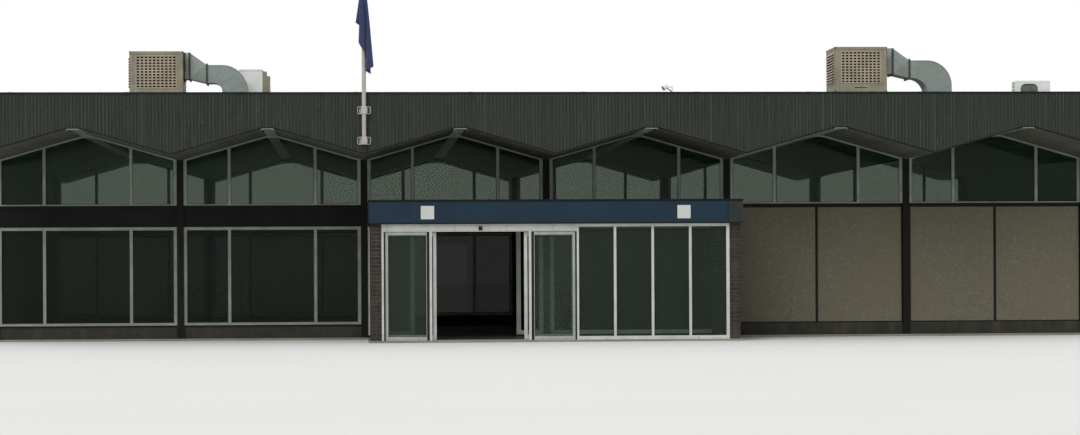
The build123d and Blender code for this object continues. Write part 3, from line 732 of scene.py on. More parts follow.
for word, side, half, foot, origin in FASCIA_SIDES:
    ribs = Pile()
    joints = joint_lines(half, origin)
    count = int(2 * half / RIB_PITCH)
    start = -(count - 1) * RIB_PITCH / 2
    for n in range(count):
        u = start + n * RIB_PITCH
        if min(abs(u - joint) for joint in joints) > JOINT_WIDTH:
            add_rib(ribs, side, u, RIB_WIDTH, RIB_DEPTH, foot, random.random())
    for joint in joints:
        add_rib(ribs, side, joint, JOINT_WIDTH, JOINT_DEPTH, foot, JOINT_TONE)
    piece(ribs, word + "_fascia_ribs", fascia_face)

# Flashing that laps over the tops of the battens
FLASHING_DEPTH = 0.026
FLASHING_HEIGHT = 0.034
FLASHING_RISE = 0.006
FLASHING_SHEET = 0.003
FLASHING_JOINT = 0.6
LAP_HALF = 0.05
LAP_PROUD = 0.003
LAP_DROP = 0.002
CAPPING_WIDTH = 0.12
flashing = Pile()
low, high = CAPPING_TOP - FLASHING_HEIGHT, CAPPING_TOP + FLASHING_RISE
for _, side, half, _, _ in FASCIA_SIDES:
    reach = half + FLASHING_DEPTH
    flashing.slab(side, (-reach, reach), (low, high), (FLASHING_DEPTH - FLASHING_SHEET, FLASHING_DEPTH))
    flashing.slab(side, (-reach, reach), (CAPPING_TOP, high), (-CAPPING_WIDTH, FLASHING_DEPTH))
    for joint in joint_lines(half, FLASHING_JOINT):
        flashing.slab(side, about(joint, LAP_HALF), (low - LAP_DROP, high + LAP_PROUD),
                      (-CAPPING_WIDTH, FLASHING_DEPTH + LAP_PROUD), tone=1)
piece(flashing, "fascia_flashing", capping_paint)

# Thin edge angle along the fascia's lower edge
EDGE_HEIGHT = 0.022
EDGE_DEPTH = 0.02
EDGE_DROP = 0.002
edge_trim = Pile()
for side in (front_side(FRONT_EDGE), back_side(BACK_EDGE)):
    turns = [-FASCIA_HALF, -HALF]
    for centre in CENTRES:
        turns += [centre - RIDGE_HALF, centre + RIDGE_HALF, centre + BAY / 2]
    turns.append(FASCIA_HALF)
    for left, right in zip(turns, turns[1:]):
        low_left, low_right = soffit_at(left) - EDGE_DROP, soffit_at(right) - EDGE_DROP
        quad = ((left, low_left), (right, low_right), (right, low_right + EDGE_HEIGHT),
                (left, low_left + EDGE_HEIGHT))
        edge_trim.plate(side, quad, (0, EDGE_DEPTH), 0.1)
piece(edge_trim, "fascia_edge_trim", black_steel)


# Soffit boards along each slope, outside and inside the glazed walls
BOARD_WIDTH = 0.142
BOARD_GAP = 0.007
BOARD_THICKNESS = 0.010
BOARD_END = 0.005
SLOPE_ANGLE = math.atan2(RISE, SLOPE_RUN)
SLOPE_LENGTH = SLOPE_RUN / math.cos(SLOPE_ANGLE)
WALL_CLEAR = COLUMN / 2 + 0.02
BOARD_ZONES = (
    (INNER_FRONT + BOARD_END, FRONT_Y - WALL_CLEAR),
    (FRONT_Y + WALL_CLEAR, BACK_Y - WALL_CLEAR),
    (BACK_Y + WALL_CLEAR, INNER_BACK - BOARD_END),
)


def add_soffit_boards(pile):
    """Boards on both slopes of each bay, from the ridge down to the valley."""
    count = int(SLOPE_LENGTH / BOARD_WIDTH)
    pitch = SLOPE_LENGTH / count
    for centre in CENTRES:
        for turn in (-1, 1):
            for n in range(count):
                edges = []
                for place in (n * pitch + BOARD_GAP / 2, (n + 1) * pitch - BOARD_GAP / 2):
                    x = centre + turn * (RIDGE_HALF + place * math.cos(SLOPE_ANGLE))
                    z = VALLEY + RISE - place * math.sin(SLOPE_ANGLE)
                    edges.append((x, z))
                (xa, za), (xb, zb) = sorted(edges)
                section = ((xa, za - BOARD_THICKNESS), (xb, zb - BOARD_THICKNESS), (xb, zb), (xa, za))
                for y0, y1 in BOARD_ZONES:
                    pile.hexa([(x, y1, z) for x, z in section], [(x, y0, z) for x, z in section],
                              random.random())


soffit_boards = Pile()
add_soffit_boards(soffit_boards)
piece(soffit_boards, "soffit_boards", soffit_face)

# Slatted grilles in the ridge troughs, three to each bay of depth
GRILLE_PITCH = BAY / 3
GRILLE_LENGTH = 1.06
GRILLE_FRAME = 0.022
GRILLE_DEPTH = 0.012
BLADE_PITCH = 0.062
BLADE_WIDTH = 0.044
BLADE_THICKNESS = 0.004
BLADE_TILT = math.radians(35)
RIDGE = VALLEY + RISE
TROUGH_HALF = RIDGE_HALF - 0.022
BATTEN_PITCH = 0.5
BATTEN_WIDTH = 0.05
BATTEN_DROP = 0.014
HALL_BATTEN_DROP = 0.024
BATTEN_CLEAR = 0.14
BATTEN_BED = 0.004
BATTEN_START = 0.12
GRILLE_START = 0.16
GRILLE_CLEAR = 0.002
GRILLE_SHORTEST = 0.3
GRILLE_WALL_GAP = 0.1
BLADE_LIFT = 0.001
CAP_PROUD = 0.022
CAP_REACH = 0.08
CAP_SIDE = 0.014
CAP_LEVELS = (RIDGE - 0.016, RIDGE - 0.001)
CAP_SIDE_LEVELS = (RIDGE - 0.04, RIDGE - 0.001)


def add_grille(frames, blades, centre, y0, y1):
    """One framed grille with tilted cross blades, seen from below."""
    half = TROUGH_HALF - GRILLE_CLEAR
    z0 = RIDGE + GRILLE_CLEAR
    z = (z0, z0 + GRILLE_DEPTH)
    left, right = about(centre, half)
    frames.box((left, left + GRILLE_FRAME), (y0, y1), z)
    frames.box((right - GRILLE_FRAME, right), (y0, y1), z)
    frames.box((left, right), (y0, y0 + GRILLE_FRAME), z)
    frames.box((left, right), (y1 - GRILLE_FRAME, y1), z)
    x = about(centre, half - GRILLE_FRAME)
    dy, dz = BLADE_WIDTH / 2 * math.cos(BLADE_TILT), BLADE_WIDTH / 2 * math.sin(BLADE_TILT)
    low = z0 + BLADE_LIFT
    for n in range(int((y1 - y0 - 2 * GRILLE_FRAME) / BLADE_PITCH)):
        y = y0 + GRILLE_FRAME + (n + 0.5) * BLADE_PITCH - dy
        front = [(a, y, b) for a, b in rectangle(x, (low, low + BLADE_THICKNESS))]
        back = [(a, y + 2 * dy, b + 2 * dz) for a, y, b in front]
        blades.hexa(back, front, 0.3 + 0.4 * random.random())


grilles = Pile()
grille_blades = Pile()
hall_grilles = Pile()
trough_ends = Pile()
battens = Pile()
hall_battens = Pile()
for centre in CENTRES:
    y = INNER_FRONT + BATTEN_START
    while y + BATTEN_WIDTH < INNER_BACK:
        if min(abs(y - FRONT_Y), abs(y - BACK_Y)) > BATTEN_CLEAR:
            row, drop = (hall_battens, HALL_BATTEN_DROP) if FRONT_Y < y < BACK_Y else (battens, BATTEN_DROP)
            row.box(about(centre, TROUGH_HALF), (y, y + BATTEN_WIDTH), (RIDGE - drop, RIDGE + BATTEN_BED),
                    random.random())
        y += BATTEN_PITCH
    y = INNER_FRONT + GRILLE_START
    while y + GRILLE_LENGTH < INNER_BACK:
        end = y + GRILLE_LENGTH
        wall = FRONT_Y if y < 0 else BACK_Y
        if y - GRILLE_WALL_GAP < wall < end + GRILLE_WALL_GAP:
            parts = [(y, wall - GRILLE_WALL_GAP), (wall + GRILLE_WALL_GAP, end)]
            outside, inside = parts if y < 0 else reversed(parts)
            if outside[1] - outside[0] > GRILLE_SHORTEST:
                add_grille(grilles, grille_blades, centre, *outside)
            if inside[1] - inside[0] > GRILLE_SHORTEST:
                add_grille(hall_grilles, hall_grilles, centre, *inside)
        elif FRONT_Y < y < BACK_Y:
            add_grille(hall_grilles, hall_grilles, centre, y, end)
        else:
            add_grille(grilles, grille_blades, centre, y, end)
        y += GRILLE_PITCH
    for edge, out in ((FRONT_EDGE, -1), (BACK_EDGE, 1)):
        face = sorted((edge + out * CAP_PROUD, edge - out * CAP_REACH))
        trough_ends.box(about(centre, RIDGE_HALF), face, CAP_LEVELS)
        for turn in (-1, 1):
            edge_x = sorted((centre + turn * RIDGE_HALF, centre + turn * (RIDGE_HALF - CAP_SIDE)))
            trough_ends.box(edge_x, face, CAP_SIDE_LEVELS)
piece(grilles, "ridge_grilles", grey_frame)
piece(grille_blades, "ridge_grille_blades", dark_metal)
# The hall's grilles, blades and battens take the pale painted light
piece(hall_grilles, "hall_ridge_grilles", hall_grille_painted_light)
piece(battens, "ridge_battens", grey_frame)
piece(hall_battens, "hall_ridge_battens", hall_grille_painted_light)
piece(trough_ends, "ridge_end_caps", grey_frame)


# Bricks on the mortar faces of the party walls and the entrance walls
COURSE = 0.086
BRICK_LENGTH = 0.23
BRICK_JOINT = 0.010
BRICK_PROUD = 0.007
BRICK_CHAMFER = 0.003
BRICK_STRAY = 0.0012
BRICK_SHORTEST = 0.03
ROW_END = 0.02
WALL_HEAD = 0.004
HEADER_CLEAR = 0.02


def lay_bricks(pile, side, u, w, over=(0, 0)):
    """Stretcher bond over a face; over lets the end bricks turn a corner."""
    pitch = BRICK_LENGTH + BRICK_JOINT
    courses = int(round((w[1] - w[0]) / COURSE))
    course = (w[1] - w[0]) / courses
    for row in range(courses):
        base = w[0] + row * course
        start = u[0] - (pitch / 2 if row % 2 else 0)
        n = 0
        while start + n * pitch < u[1] - ROW_END:
            left = max(start + n * pitch, u[0])
            right = min(start + n * pitch + BRICK_LENGTH, u[1])
            n += 1
            if right - left < BRICK_SHORTEST:
                continue
            left -= over[0] if left == u[0] else 0
            right += over[1] if right == u[1] else 0
            proud = BRICK_PROUD + random.uniform(-BRICK_STRAY, BRICK_STRAY)
            pile.slab(side, (left, right), (base, base + course - BRICK_JOINT), (0, proud), BRICK_CHAMFER,
                      random.random(), closed=False)


for word, face, out_side in (("left", -1, left_side(-ROOF_HALF)), ("right", 1, right_side(ROOF_HALF))):
    bricks = Pile()
    y_span, z_span = (span(word + "_party_wall", axis) for axis in (1, 2))
    z_span = (0.0, z_span[1] - WALL_HEAD)
    lay_bricks(bricks, out_side, flipped(y_span, face), z_span, (BRICK_PROUD, BRICK_PROUD))
    thick = flipped((HALL_HALF, ROOF_HALF), face)
    lay_bricks(bricks, front_side(y_span[0]), thick, z_span)
    lay_bricks(bricks, back_side(y_span[1]), flipped(thick, -1), z_span)
    piece(bricks, word + "_wall_bricks", brick)

for word, face in (("left", -1), ("right", 1)):
    bricks = Pile()
    x_span, y_span, z_span = (span("entrance_" + word + "_wall", axis) for axis in range(3))
    inner, outer = x_span if face > 0 else reversed(x_span)
    outward, inward = (right_side, left_side) if face > 0 else (left_side, right_side)
    clear = span("door_header", 1)[1] + HEADER_CLEAR
    lay_bricks(bricks, front_side(y_span[0]), x_span, z_span)
    lay_bricks(bricks, outward(outer), flipped(y_span, face), z_span)
    lay_bricks(bricks, inward(inner), flipped((clear, y_span[1]), -face), z_span)
    piece(bricks, word + "_pier_bricks", brick)


WALLS = (("front", 1, WINDOW_BAYS), ("back", -1, BACK_WINDOW_BAYS))


def wall_face(node):
    """The outer face of a node that belongs to the front or the back wall."""
    low, high = span(node, 1)
    return front_side(low) if node.startswith("front") else back_side(high)


# Exposed aggregate: a grid of pebbles stands out from each panel
PEBBLE = 0.03
GRID = 0.0215
PEBBLE_HEIGHT = 0.0075
PEBBLE_SPREAD = 1.15
PEBBLE_LEAST = 0.12
PEBBLE_BED = 0.0015
PEBBLE_TONES = 7.3
MATRIX_TONE = 0.05
PANEL_EDGE = 0.006


def add_pebbles(verts, faces, pebbles, side, u, w):
    """One panel's relief, falling back to the panel at its edges."""
    columns = int((u[1] - u[0]) / GRID)
    rows = int((w[1] - w[0]) / GRID)
    first = len(verts)
    for row in range(rows + 1):
        for column in range(columns + 1):
            a = u[0] + (u[1] - u[0]) * column / columns
            b = w[0] + (w[1] - w[0]) * row / rows
            place = Vector((a / PEBBLE, b / PEBBLE, side.origin.y))
            distances, points = noise.voronoi(place)
            share = max(0.0, 1 - distances[0] * PEBBLE_SPREAD)
            edge = row in (0, rows) or column in (0, columns)
            depth = 0.0 if edge else PEBBLE_BED + PEBBLE_HEIGHT * math.sqrt(share)
            verts.append(side.at(a, b, depth))
            pebbles.append(noise.cell(points[0] * PEBBLE_TONES) if share > PEBBLE_LEAST else MATRIX_TONE)
    for row in range(rows):
        for column in range(columns):
            a = first + row * (columns + 1) + column
            faces.append((a, a + 1, a + columns + 2, a + columns + 1))


for word, mirror, _ in WALLS:
    node = word + "_aggregate_panels"
    verts, faces, pebbles = [], [], []
    low, high = span(node, 2)
    for index in PANEL_BAYS:
        left, right = bay_span(index)
        middle = about(CENTRES[index], PANEL_JOINT / 2)
        for pair in ((left + PANEL_JOINT / 2, middle[0]), (middle[1], right - PANEL_JOINT / 2)):
            u = flipped(pair, mirror)
            add_pebbles(verts, faces, pebbles, wall_face(node), (u[0] + PANEL_EDGE, u[1] - PANEL_EDGE),
                        (low + PANEL_EDGE, high - PANEL_EDGE))
    mesh = bpy.data.meshes.new(word + "_pebbles")
    mesh.from_pydata(verts, [], faces)
    attribute = mesh.attributes.new("pebble", "FLOAT", "POINT")
    attribute.data.foreach_set("value", pebbles)
    mesh.shade_smooth()
    dress(mesh, word + "_pebbles", aggregate)


# Glazing beads and gaskets round every light, and drip sills under the frames
GLASS_HALF = 0.005
GASKET = 0.009
GASKET_DEPTH = 0.012
BEAD = 0.014
BEAD_PROUD = 0.004
FRAME_FACE = FRONT_Y - span("front_clerestory_frames", 1)[0]
SILL_PROUD = 0.018
SILL_HEIGHT = 0.046
FOOT_HEIGHT = 0.018
LINTEL_HEIGHT = 0.006
SILL_CHAMFER = 0.003


def light_spans(index):
    """The three glass widths of a bay."""
    left, right = bay_span(index)
    posts = about(CENTRES[index], MULLION_SHARE * BAY)
    half = MULLION / 2
    return [(left + JAMB, posts[0] - half), (posts[0] + half, posts[1] - half),
            (posts[1] + half, right - JAMB)]


def head_outline(index, left, right, base, drop):
    """Outline of a light under the fold, anticlockwise."""
    outline = [(left, base), (right, base), (right, soffit_at(right) - drop)]
    for turn in (CENTRES[index] + RIDGE_HALF, CENTRES[index] - RIDGE_HALF):
        if left < turn < right:
            outline.append((turn, VALLEY + RISE - drop))
    outline.append((left, soffit_at(left) - drop))
    return outline


def glaze_wall(word, mirror, window_bays):
    """A bead on the frame's face and a gasket against the glass of each light, and the drip sills."""
    side = front_side(FRONT_Y) if mirror > 0 else back_side(BACK_Y)
    beads, gaskets, flashings = Pile(), Pile(), Pile()
    high_base = span(word + "_clerestory_frames", 2)[0]
    low_base, low_top = span(word + "_window_frames", 2)
    reach = (FRAME_FACE, FRAME_FACE + SILL_PROUD)
    for index in range(BAYS):
        for light in light_spans(index):
            outlines = [head_outline(index, *light, high_base + SILL, HEAD)]
            if index in window_bays:
                outlines.append(rectangle(light, (low_base + SILL, low_top - SILL)))
            for outline in outlines:
                outline = outline if mirror > 0 else mirrored(outline)
                beads.ring(side, inset(outline, -BEAD), BEAD, (FRAME_FACE, FRAME_FACE + BEAD_PROUD), 0.3)
                gaskets.ring(side, outline, GASKET, (GLASS_HALF, GLASS_HALF + GASKET_DEPTH))
        levels = [(high_base, high_base + SILL_HEIGHT)]
        if index in window_bays:
            levels += [(low_base, low_base + FOOT_HEIGHT), (low_top - LINTEL_HEIGHT, low_top)]
        for w in levels:
            flashings.slab(side, flipped(bay_span(index), mirror), w, reach, SILL_CHAMFER, 0.0)
    piece(beads, word + "_glazing_beads", grey_frame)
    piece(gaskets, word + "_gaskets", rubber)
    piece(flashings, word + "_sill_flashings", black_steel)


for wall in WALLS:
    glaze_wall(*wall)


# Sign: square bare plates with a screw in each corner, and the trim round the band
SIGN_LOW, SIGN_HIGH = span("sign_band", 2)
SIGN_FACE = front_side(FRONT_EDGE)
PLATE_HALF = 0.285 / 2
PLATE_CENTRES = (-2.77, 2.755)
PLATE_MIDDLE = 2.793
PLATE_THICKNESS = 0.008
PLATE_SCREW = 0.02
SMALL_SCREW = 0.006
SHEET_CHAMFER = 0.002
sign_plates = Pile()
for centre in PLATE_CENTRES:
    sign_plates.slab(SIGN_FACE, about(centre, PLATE_HALF), about(PLATE_MIDDLE, PLATE_HALF),
                     (0, PLATE_THICKNESS), SHEET_CHAMFER, 0.1)
    for turn_u in (-1, 1):
        for turn_w in (-1, 1):
            u = centre + turn_u * (PLATE_HALF - PLATE_SCREW)
            w = PLATE_MIDDLE + turn_w * (PLATE_HALF - PLATE_SCREW)
            sign_plates.dome(SIGN_FACE.at(u, w, PLATE_THICKNESS), SMALL_SCREW, FORWARD, tone=1)
piece(sign_plates, "sign_plates", plate_enamel)

TRIM_FOOT = 0.018
TRIM_HEAD = 0.014
TRIM_SIDE = 0.006
TRIM_BED = 0.002
TRIM_PROUD = 0.007
TRIM_SIDE_PROUD = 0.008
sign_trim = Pile()
sign_u = span("sign_band", 0)
end_u = (sign_u[1], span("sign_end", 0)[1])
for u in (sign_u, end_u):
    for w in ((SIGN_LOW, SIGN_LOW + TRIM_FOOT), (SIGN_HIGH - TRIM_HEAD, SIGN_HIGH)):
        sign_trim.slab(SIGN_FACE, (u[0] - TRIM_BED, u[1] + TRIM_BED), w, (-TRIM_BED, TRIM_PROUD),
                       SHEET_CHAMFER, 0.2)
for u in (sign_u[0] + TRIM_SIDE, sign_u[1]):
    sign_trim.slab(SIGN_FACE, about(u, TRIM_SIDE), (SIGN_LOW, SIGN_HIGH), (-TRIM_BED, TRIM_SIDE_PROUD),
                   SHEET_CHAMFER, 0.2)
piece(sign_trim, "sign_trim", black_steel)

# Gaskets on both faces of the sliding leaves' panes and of the entrance's other panes
LEAF_GASKET = 0.012
LEAF_GASKET_DEPTH = 0.007


def pane_rings(pile, u, w, y, width, depth):
    """A gasket round a pane on both of its faces."""
    outline = rectangle(u, w)
    pile.ring(front_side(y[0]), outline, width, (0, depth))
    pile.ring(back_side(y[1]), mirrored(outline), width, (0, depth))


for body in ("left_leaf", "right_leaf"):
    gaskets = Pile()
    x_span, y_span, z_span = (span(body + "_glass", axis) for axis in range(3))
    pane_rings(gaskets, x_span, z_span, y_span, LEAF_GASKET, LEAF_GASKET_DEPTH)
    piece(gaskets, body + "_gaskets", rubber, body)

pane_gaskets = Pile()
for node in ("entrance_glass", "inner_screen_glass"):
    for low, high in islands(node):
        pane_rings(pane_gaskets, (low.x, high.x), (low.z, high.z), (low.y, high.y), GASKET, GASKET_DEPTH)
piece(pane_gaskets, "entrance_gaskets", rubber)

# Door operator: sensor, cover seams and screws on the header, and a worn track on the floor
ENTRANCE_FACE = span("entrance_posts", 1)[0]
HEADER_LOW, HEADER_HIGH = span("door_header", 2)
HEADER_X = span("door_header", 0)
HEADER_FACE = front_side(span("door_header", 1)[0])
SENSOR_X = -1.63
SENSOR_HALF = 0.04
SENSOR_LOW = 2.415
SENSOR_HIGH = 2.495
SENSOR_DEPTH = 0.045
SEAM = 0.003
SEAM_PROUD = 0.0015
SENSOR_CHAMFER = 0.008
SENSOR_EYE = 0.011
SEAM_LEVELS = (HEADER_LOW + 0.022, HEADER_HIGH - 0.03)
SEAM_END = 0.06
SEAM_REACH = 0.55
SCREW_OFF = 0.03
SCREW_REACHES = (-0.58, -0.52, 0.52, 0.58)
SCREW_HEAD = 0.007
SCREW_LEVELS = (HEADER_LOW + 0.05, HEADER_HIGH - 0.06)
sensor = Pile()
sensor.slab(HEADER_FACE, about(SENSOR_X, SENSOR_HALF), (SENSOR_LOW, SENSOR_HIGH), (0, SENSOR_DEPTH),
            SENSOR_CHAMFER, 0.0)
for turn in (-1, 1):
    eye = HEADER_FACE.at(SENSOR_X + turn * SENSOR_HALF / 2, (SENSOR_LOW + SENSOR_HIGH) / 2, SENSOR_DEPTH)
    sensor.dome(eye, SENSOR_EYE, FORWARD, tone=1)
piece(sensor, "door_sensor", rubber)

header_seams = Pile()
for w in SEAM_LEVELS:
    header_seams.slab(HEADER_FACE, HEADER_X, (w, w + SEAM), (0, SEAM_PROUD))
for u in (HEADER_X[0] + SEAM_END, SENSOR_X - SEAM_REACH, SENSOR_X + SEAM_REACH, HEADER_X[1] - SEAM_END):
    header_seams.slab(HEADER_FACE, (u, u + SEAM), (HEADER_LOW, HEADER_HIGH), (0, SEAM_PROUD))
piece(header_seams, "header_seams", rubber)

header_screws = Pile()
for u in (HEADER_X[0] + SCREW_OFF, *[SENSOR_X + reach for reach in SCREW_REACHES], HEADER_X[1] - SCREW_OFF):
    for w in SCREW_LEVELS:
        header_screws.dome(HEADER_FACE.at(u, w, 0), SCREW_HEAD, FORWARD)
piece(header_screws, "header_screws", silver_frame)

LEAF_FRONT, LEAF_BACK = span("left_leaf_frame", 1)
TRACK_HEIGHT = 0.004
TRACK_RIB = 0.004
TRACK_EDGE = 0.02
TRACK_END = 0.07
TRACK_RIBS = (LEAF_FRONT - 0.018, LEAF_FRONT + 0.012, LEAF_BACK - 0.016, LEAF_BACK + 0.014)
track = Pile()
track_x = (span("entrance_posts", 0)[0] + TRACK_END, HEADER_X[1])
track.box(track_x, (LEAF_FRONT - TRACK_EDGE, LEAF_BACK + TRACK_EDGE),
          (FLOOR_TOP, FLOOR_TOP + TRACK_HEIGHT / 2))
for y in TRACK_RIBS:
    track.box(track_x, (y, y + TRACK_RIB), (FLOOR_TOP, FLOOR_TOP + TRACK_HEIGHT))
piece(track, "door_track", silver_frame)

# Screw heads up the posts' faces and weep slots along the bottom rails
POST_SCREW_END = 0.12
post_screws = Pile()
for low, high in islands("entrance_posts"):
    for w in (low.z + POST_SCREW_END, (low.z + high.z) / 2, high.z - POST_SCREW_END):
        post_screws.dome(((low.x + high.x) / 2, low.y, w), SMALL_SCREW, FORWARD)
piece(post_screws, "entrance_screws", silver_frame)

LOWEST_PANES = 0.3
WEEP_SHARES = (0.2, 0.8)
WEEP_HALF = 0.018
WEEP_LEVELS = (FLOOR_TOP + 0.018, FLOOR_TOP + 0.024)
weep_slots = Pile()
for low, high in islands("entrance_glass"):
    if low.z < LOWEST_PANES:
        for share in WEEP_SHARES:
            x = low.x + (high.x - low.x) * share
            weep_slots.slab(front_side(ENTRANCE_FACE), about(x, WEEP_HALF), WEEP_LEVELS, (-0.001, 0.001))
piece(weep_slots, "weep_slots", rubber)

# Vinyl floor tiles in the hall and lobby
TILE = 0.61
TILE_GAP = 0.003
TILE_THICKNESS = 0.004
tiles = Pile()


def lay_tiles(pile, x_span, y_span):
    """Square tiles over a floor, the last of each row cut to fit."""
    columns = math.ceil((x_span[1] - x_span[0]) / TILE)
    rows_of_tiles = math.ceil((y_span[1] - y_span[0]) / TILE)
    for column in range(columns):
        for row in range(rows_of_tiles):
            x0 = x_span[0] + column * TILE
            y0 = y_span[0] + row * TILE
            x1 = min(x0 + TILE, x_span[1]) - TILE_GAP
            y1 = min(y0 + TILE, y_span[1]) - TILE_GAP
            if x1 - x0 > TILE_GAP and y1 - y0 > TILE_GAP:
                pile.box((x0, x1), (y0, y1), (FLOOR_TOP, FLOOR_TOP + TILE_THICKNESS), random.random())


LOBBY_X = (span("entrance_left_wall", 0)[1], span("entrance_right_wall", 0)[0])
LOBBY_Y = (LEAF_BACK + 0.03, span("inner_screen_frames", 1)[0])
lay_tiles(tiles, (-HALL_HALF, HALL_HALF), (FRONT_Y + COLUMN / 2, BACK_Y - COLUMN / 2))
lay_tiles(tiles, LOBBY_X, LOBBY_Y)
piece(tiles, "floor_tiles", floor_tile)


# Joints of the black spandrels, and the dark channels that hold the aggregate panels
COVER_HALF = 0.03 / 2
COVER_PROUD = 0.003
COVER_CHAMFER = 0.001
CHANNEL = 0.042
CHANNEL_FOOT = 0.018
CHANNEL_PROUD = 0.012
JOINT_FACE = (-0.03, 0.004)
joint_covers = Pile()
for word, mirror, bays in WALLS:
    node = word + "_spandrels"
    for index in bays:
        for turn in (-1, 1):
            u = mirror * (CENTRES[index] + turn * MULLION_SHARE * BAY)
            joint_covers.slab(wall_face(node), about(u, COVER_HALF), span(node, 2), (0, COVER_PROUD),
                              COVER_CHAMFER, 0.8)
for word, mirror, _ in WALLS:
    node = word + "_aggregate_panels"
    low, high = span(node, 2)
    for index in PANEL_BAYS:
        u = flipped(bay_span(index), mirror)
        strips = [(u, (high - CHANNEL, high)), (u, (low, low + CHANNEL_FOOT))]
        for edge in (u[0], u[1] - CHANNEL_FOOT):
            strips.append(((edge, edge + CHANNEL_FOOT), (low, high)))
        for strip in strips:
            joint_covers.slab(wall_face(node), *strip, (0, CHANNEL_PROUD), SHEET_CHAMFER, 0.1)
        joint_covers.slab(wall_face(node), about(mirror * CENTRES[index], PANEL_JOINT / 2), (low, high),
                          JOINT_FACE, SHEET_CHAMFER, 0.1)
piece(joint_covers, "panel_channels", black_steel)


# Roof: membrane laps, and upstands inside the fascia with a clamping bar
LAP_PITCH = 1.05
LAP_WIDTH = 0.09
LAP_HEIGHT = 0.004
UPSTAND_HEIGHT = 0.24
UPSTAND_DEPTH = 0.006
UPSTAND_END = 0.06
BAR_HEIGHT = 0.03
BAR_DEPTH = 0.012
roof_sheets = Pile()
bars = Pile()
count = int((ROOF_HALF + ROOF_HALF) / LAP_PITCH)
for n in range(1, count + 1):
    x = -ROOF_HALF + n * (ROOF_HALF + ROOF_HALF) / (count + 1)
    roof_sheets.box(about(x, LAP_WIDTH / 2), (INNER_FRONT, INNER_BACK), (DECK_TOP, DECK_TOP + LAP_HEIGHT),
                    random.random())
upstand_top = DECK_TOP + UPSTAND_HEIGHT
for side, reach in (
    (back_side(INNER_FRONT), ROOF_HALF),
    (front_side(INNER_BACK), ROOF_HALF),
    (right_side(-ROOF_HALF), SIDE_HALF - UPSTAND_END),
    (left_side(ROOF_HALF), SIDE_HALF - UPSTAND_END),
):
    roof_sheets.slab(side, (-reach, reach), (DECK_TOP, upstand_top), (0, UPSTAND_DEPTH), tone=0.4)
    bars.slab(side, (-reach, reach), (upstand_top - BAR_HEIGHT, upstand_top), (0, BAR_DEPTH), tone=0.3)
piece(roof_sheets, "membrane_laps", membrane)
piece(bars, "upstand_bars", galvanised)


def add_foot_plates(pile, low, high):
    """A bolted plate under each leg of a unit on the roof."""
    for x in (low.x + LEG_MIDDLE, high.x - LEG_MIDDLE):
        for y in (low.y + LEG_MIDDLE, high.y - LEG_MIDDLE):
            pile.box(about(x, FOOT / 2), about(y, FOOT / 2), (DECK_TOP, FOOT_TOP), 0.3)
            for turn in (-1, 1):
                reach = turn * FOOT * FOOT_BOLT_SHARE
                pile.dome((x + reach, y + reach, FOOT_TOP), 0.01, UP)


# Evaporative coolers
LEG_MIDDLE = 0.065
FOOT = 0.13
FOOT_TOP = DECK_TOP + 0.01
FOOT_BOLT_SHARE = 0.36
COOLER_HEIGHT = 1.06
LID_HEIGHT = 0.062
LID_PROUD = 0.009
LID_LAP = 0.006
LID_BED = 0.01
LID_CHAMFER = 0.004
LID_PEAK = 0.022
TRAY_HEIGHT = 0.075
POST_WIDTH = 0.06
POST_PROUD = 0.005
BLADE_COUNT = 11
LOUVRE_WIDTH = 0.93
LOUVRE_HEIGHT = 0.745
LOUVRE_DROP = 0.088
LOUVRE_BORDER = 0.026
LOUVRE_PROUD = 0.014
PAD_PROUD = 0.003
COOLER_BLADE_DEPTH = 0.042
COOLER_BLADE_RISE = 0.05
COOLER_BLADE_SHEET = 0.016
COOLER_BLADE_LIP = 0.006
SLOT_HALF = 0.14
SLOT_TOP = 0.2
SLOT_HEIGHT = 0.06
SLOT_HOOD = 0.012
SLOT_DROP = 0.016
LATTICE_PAD = (0.031, 0.044)


def add_side_louvre(side, top):
    """A framed louvre of tilted blades over a wet pad, on one side of a cooler."""
    w = (top - LOUVRE_DROP - LOUVRE_HEIGHT, top - LOUVRE_DROP)
    edge = (-LOUVRE_WIDTH / 2, LOUVRE_WIDTH / 2)
    inside = (edge[0] + LOUVRE_BORDER, edge[1] - LOUVRE_BORDER)
    side_louvres.ring(side, rectangle(edge, w), LOUVRE_BORDER, (0, LOUVRE_PROUD), 0.2)
    pads.slab(side, inside, (w[0] + LOUVRE_BORDER, w[1] - LOUVRE_BORDER), (0, PAD_PROUD))
    pitch = (LOUVRE_HEIGHT - 2 * LOUVRE_BORDER) / BLADE_COUNT
    for n in range(BLADE_COUNT):
        foot = w[0] + LOUVRE_BORDER + n * pitch + COOLER_BLADE_RISE
        quad = rectangle(inside, (foot, foot + COOLER_BLADE_SHEET))
        back = [side.at(u, level, PAD_PROUD) for u, level in quad]
        front = [side.at(u, level - COOLER_BLADE_RISE + COOLER_BLADE_LIP, COOLER_BLADE_DEPTH)
                 for u, level in quad]
        side_louvres.hexa(back, front, 0.2 * random.random())


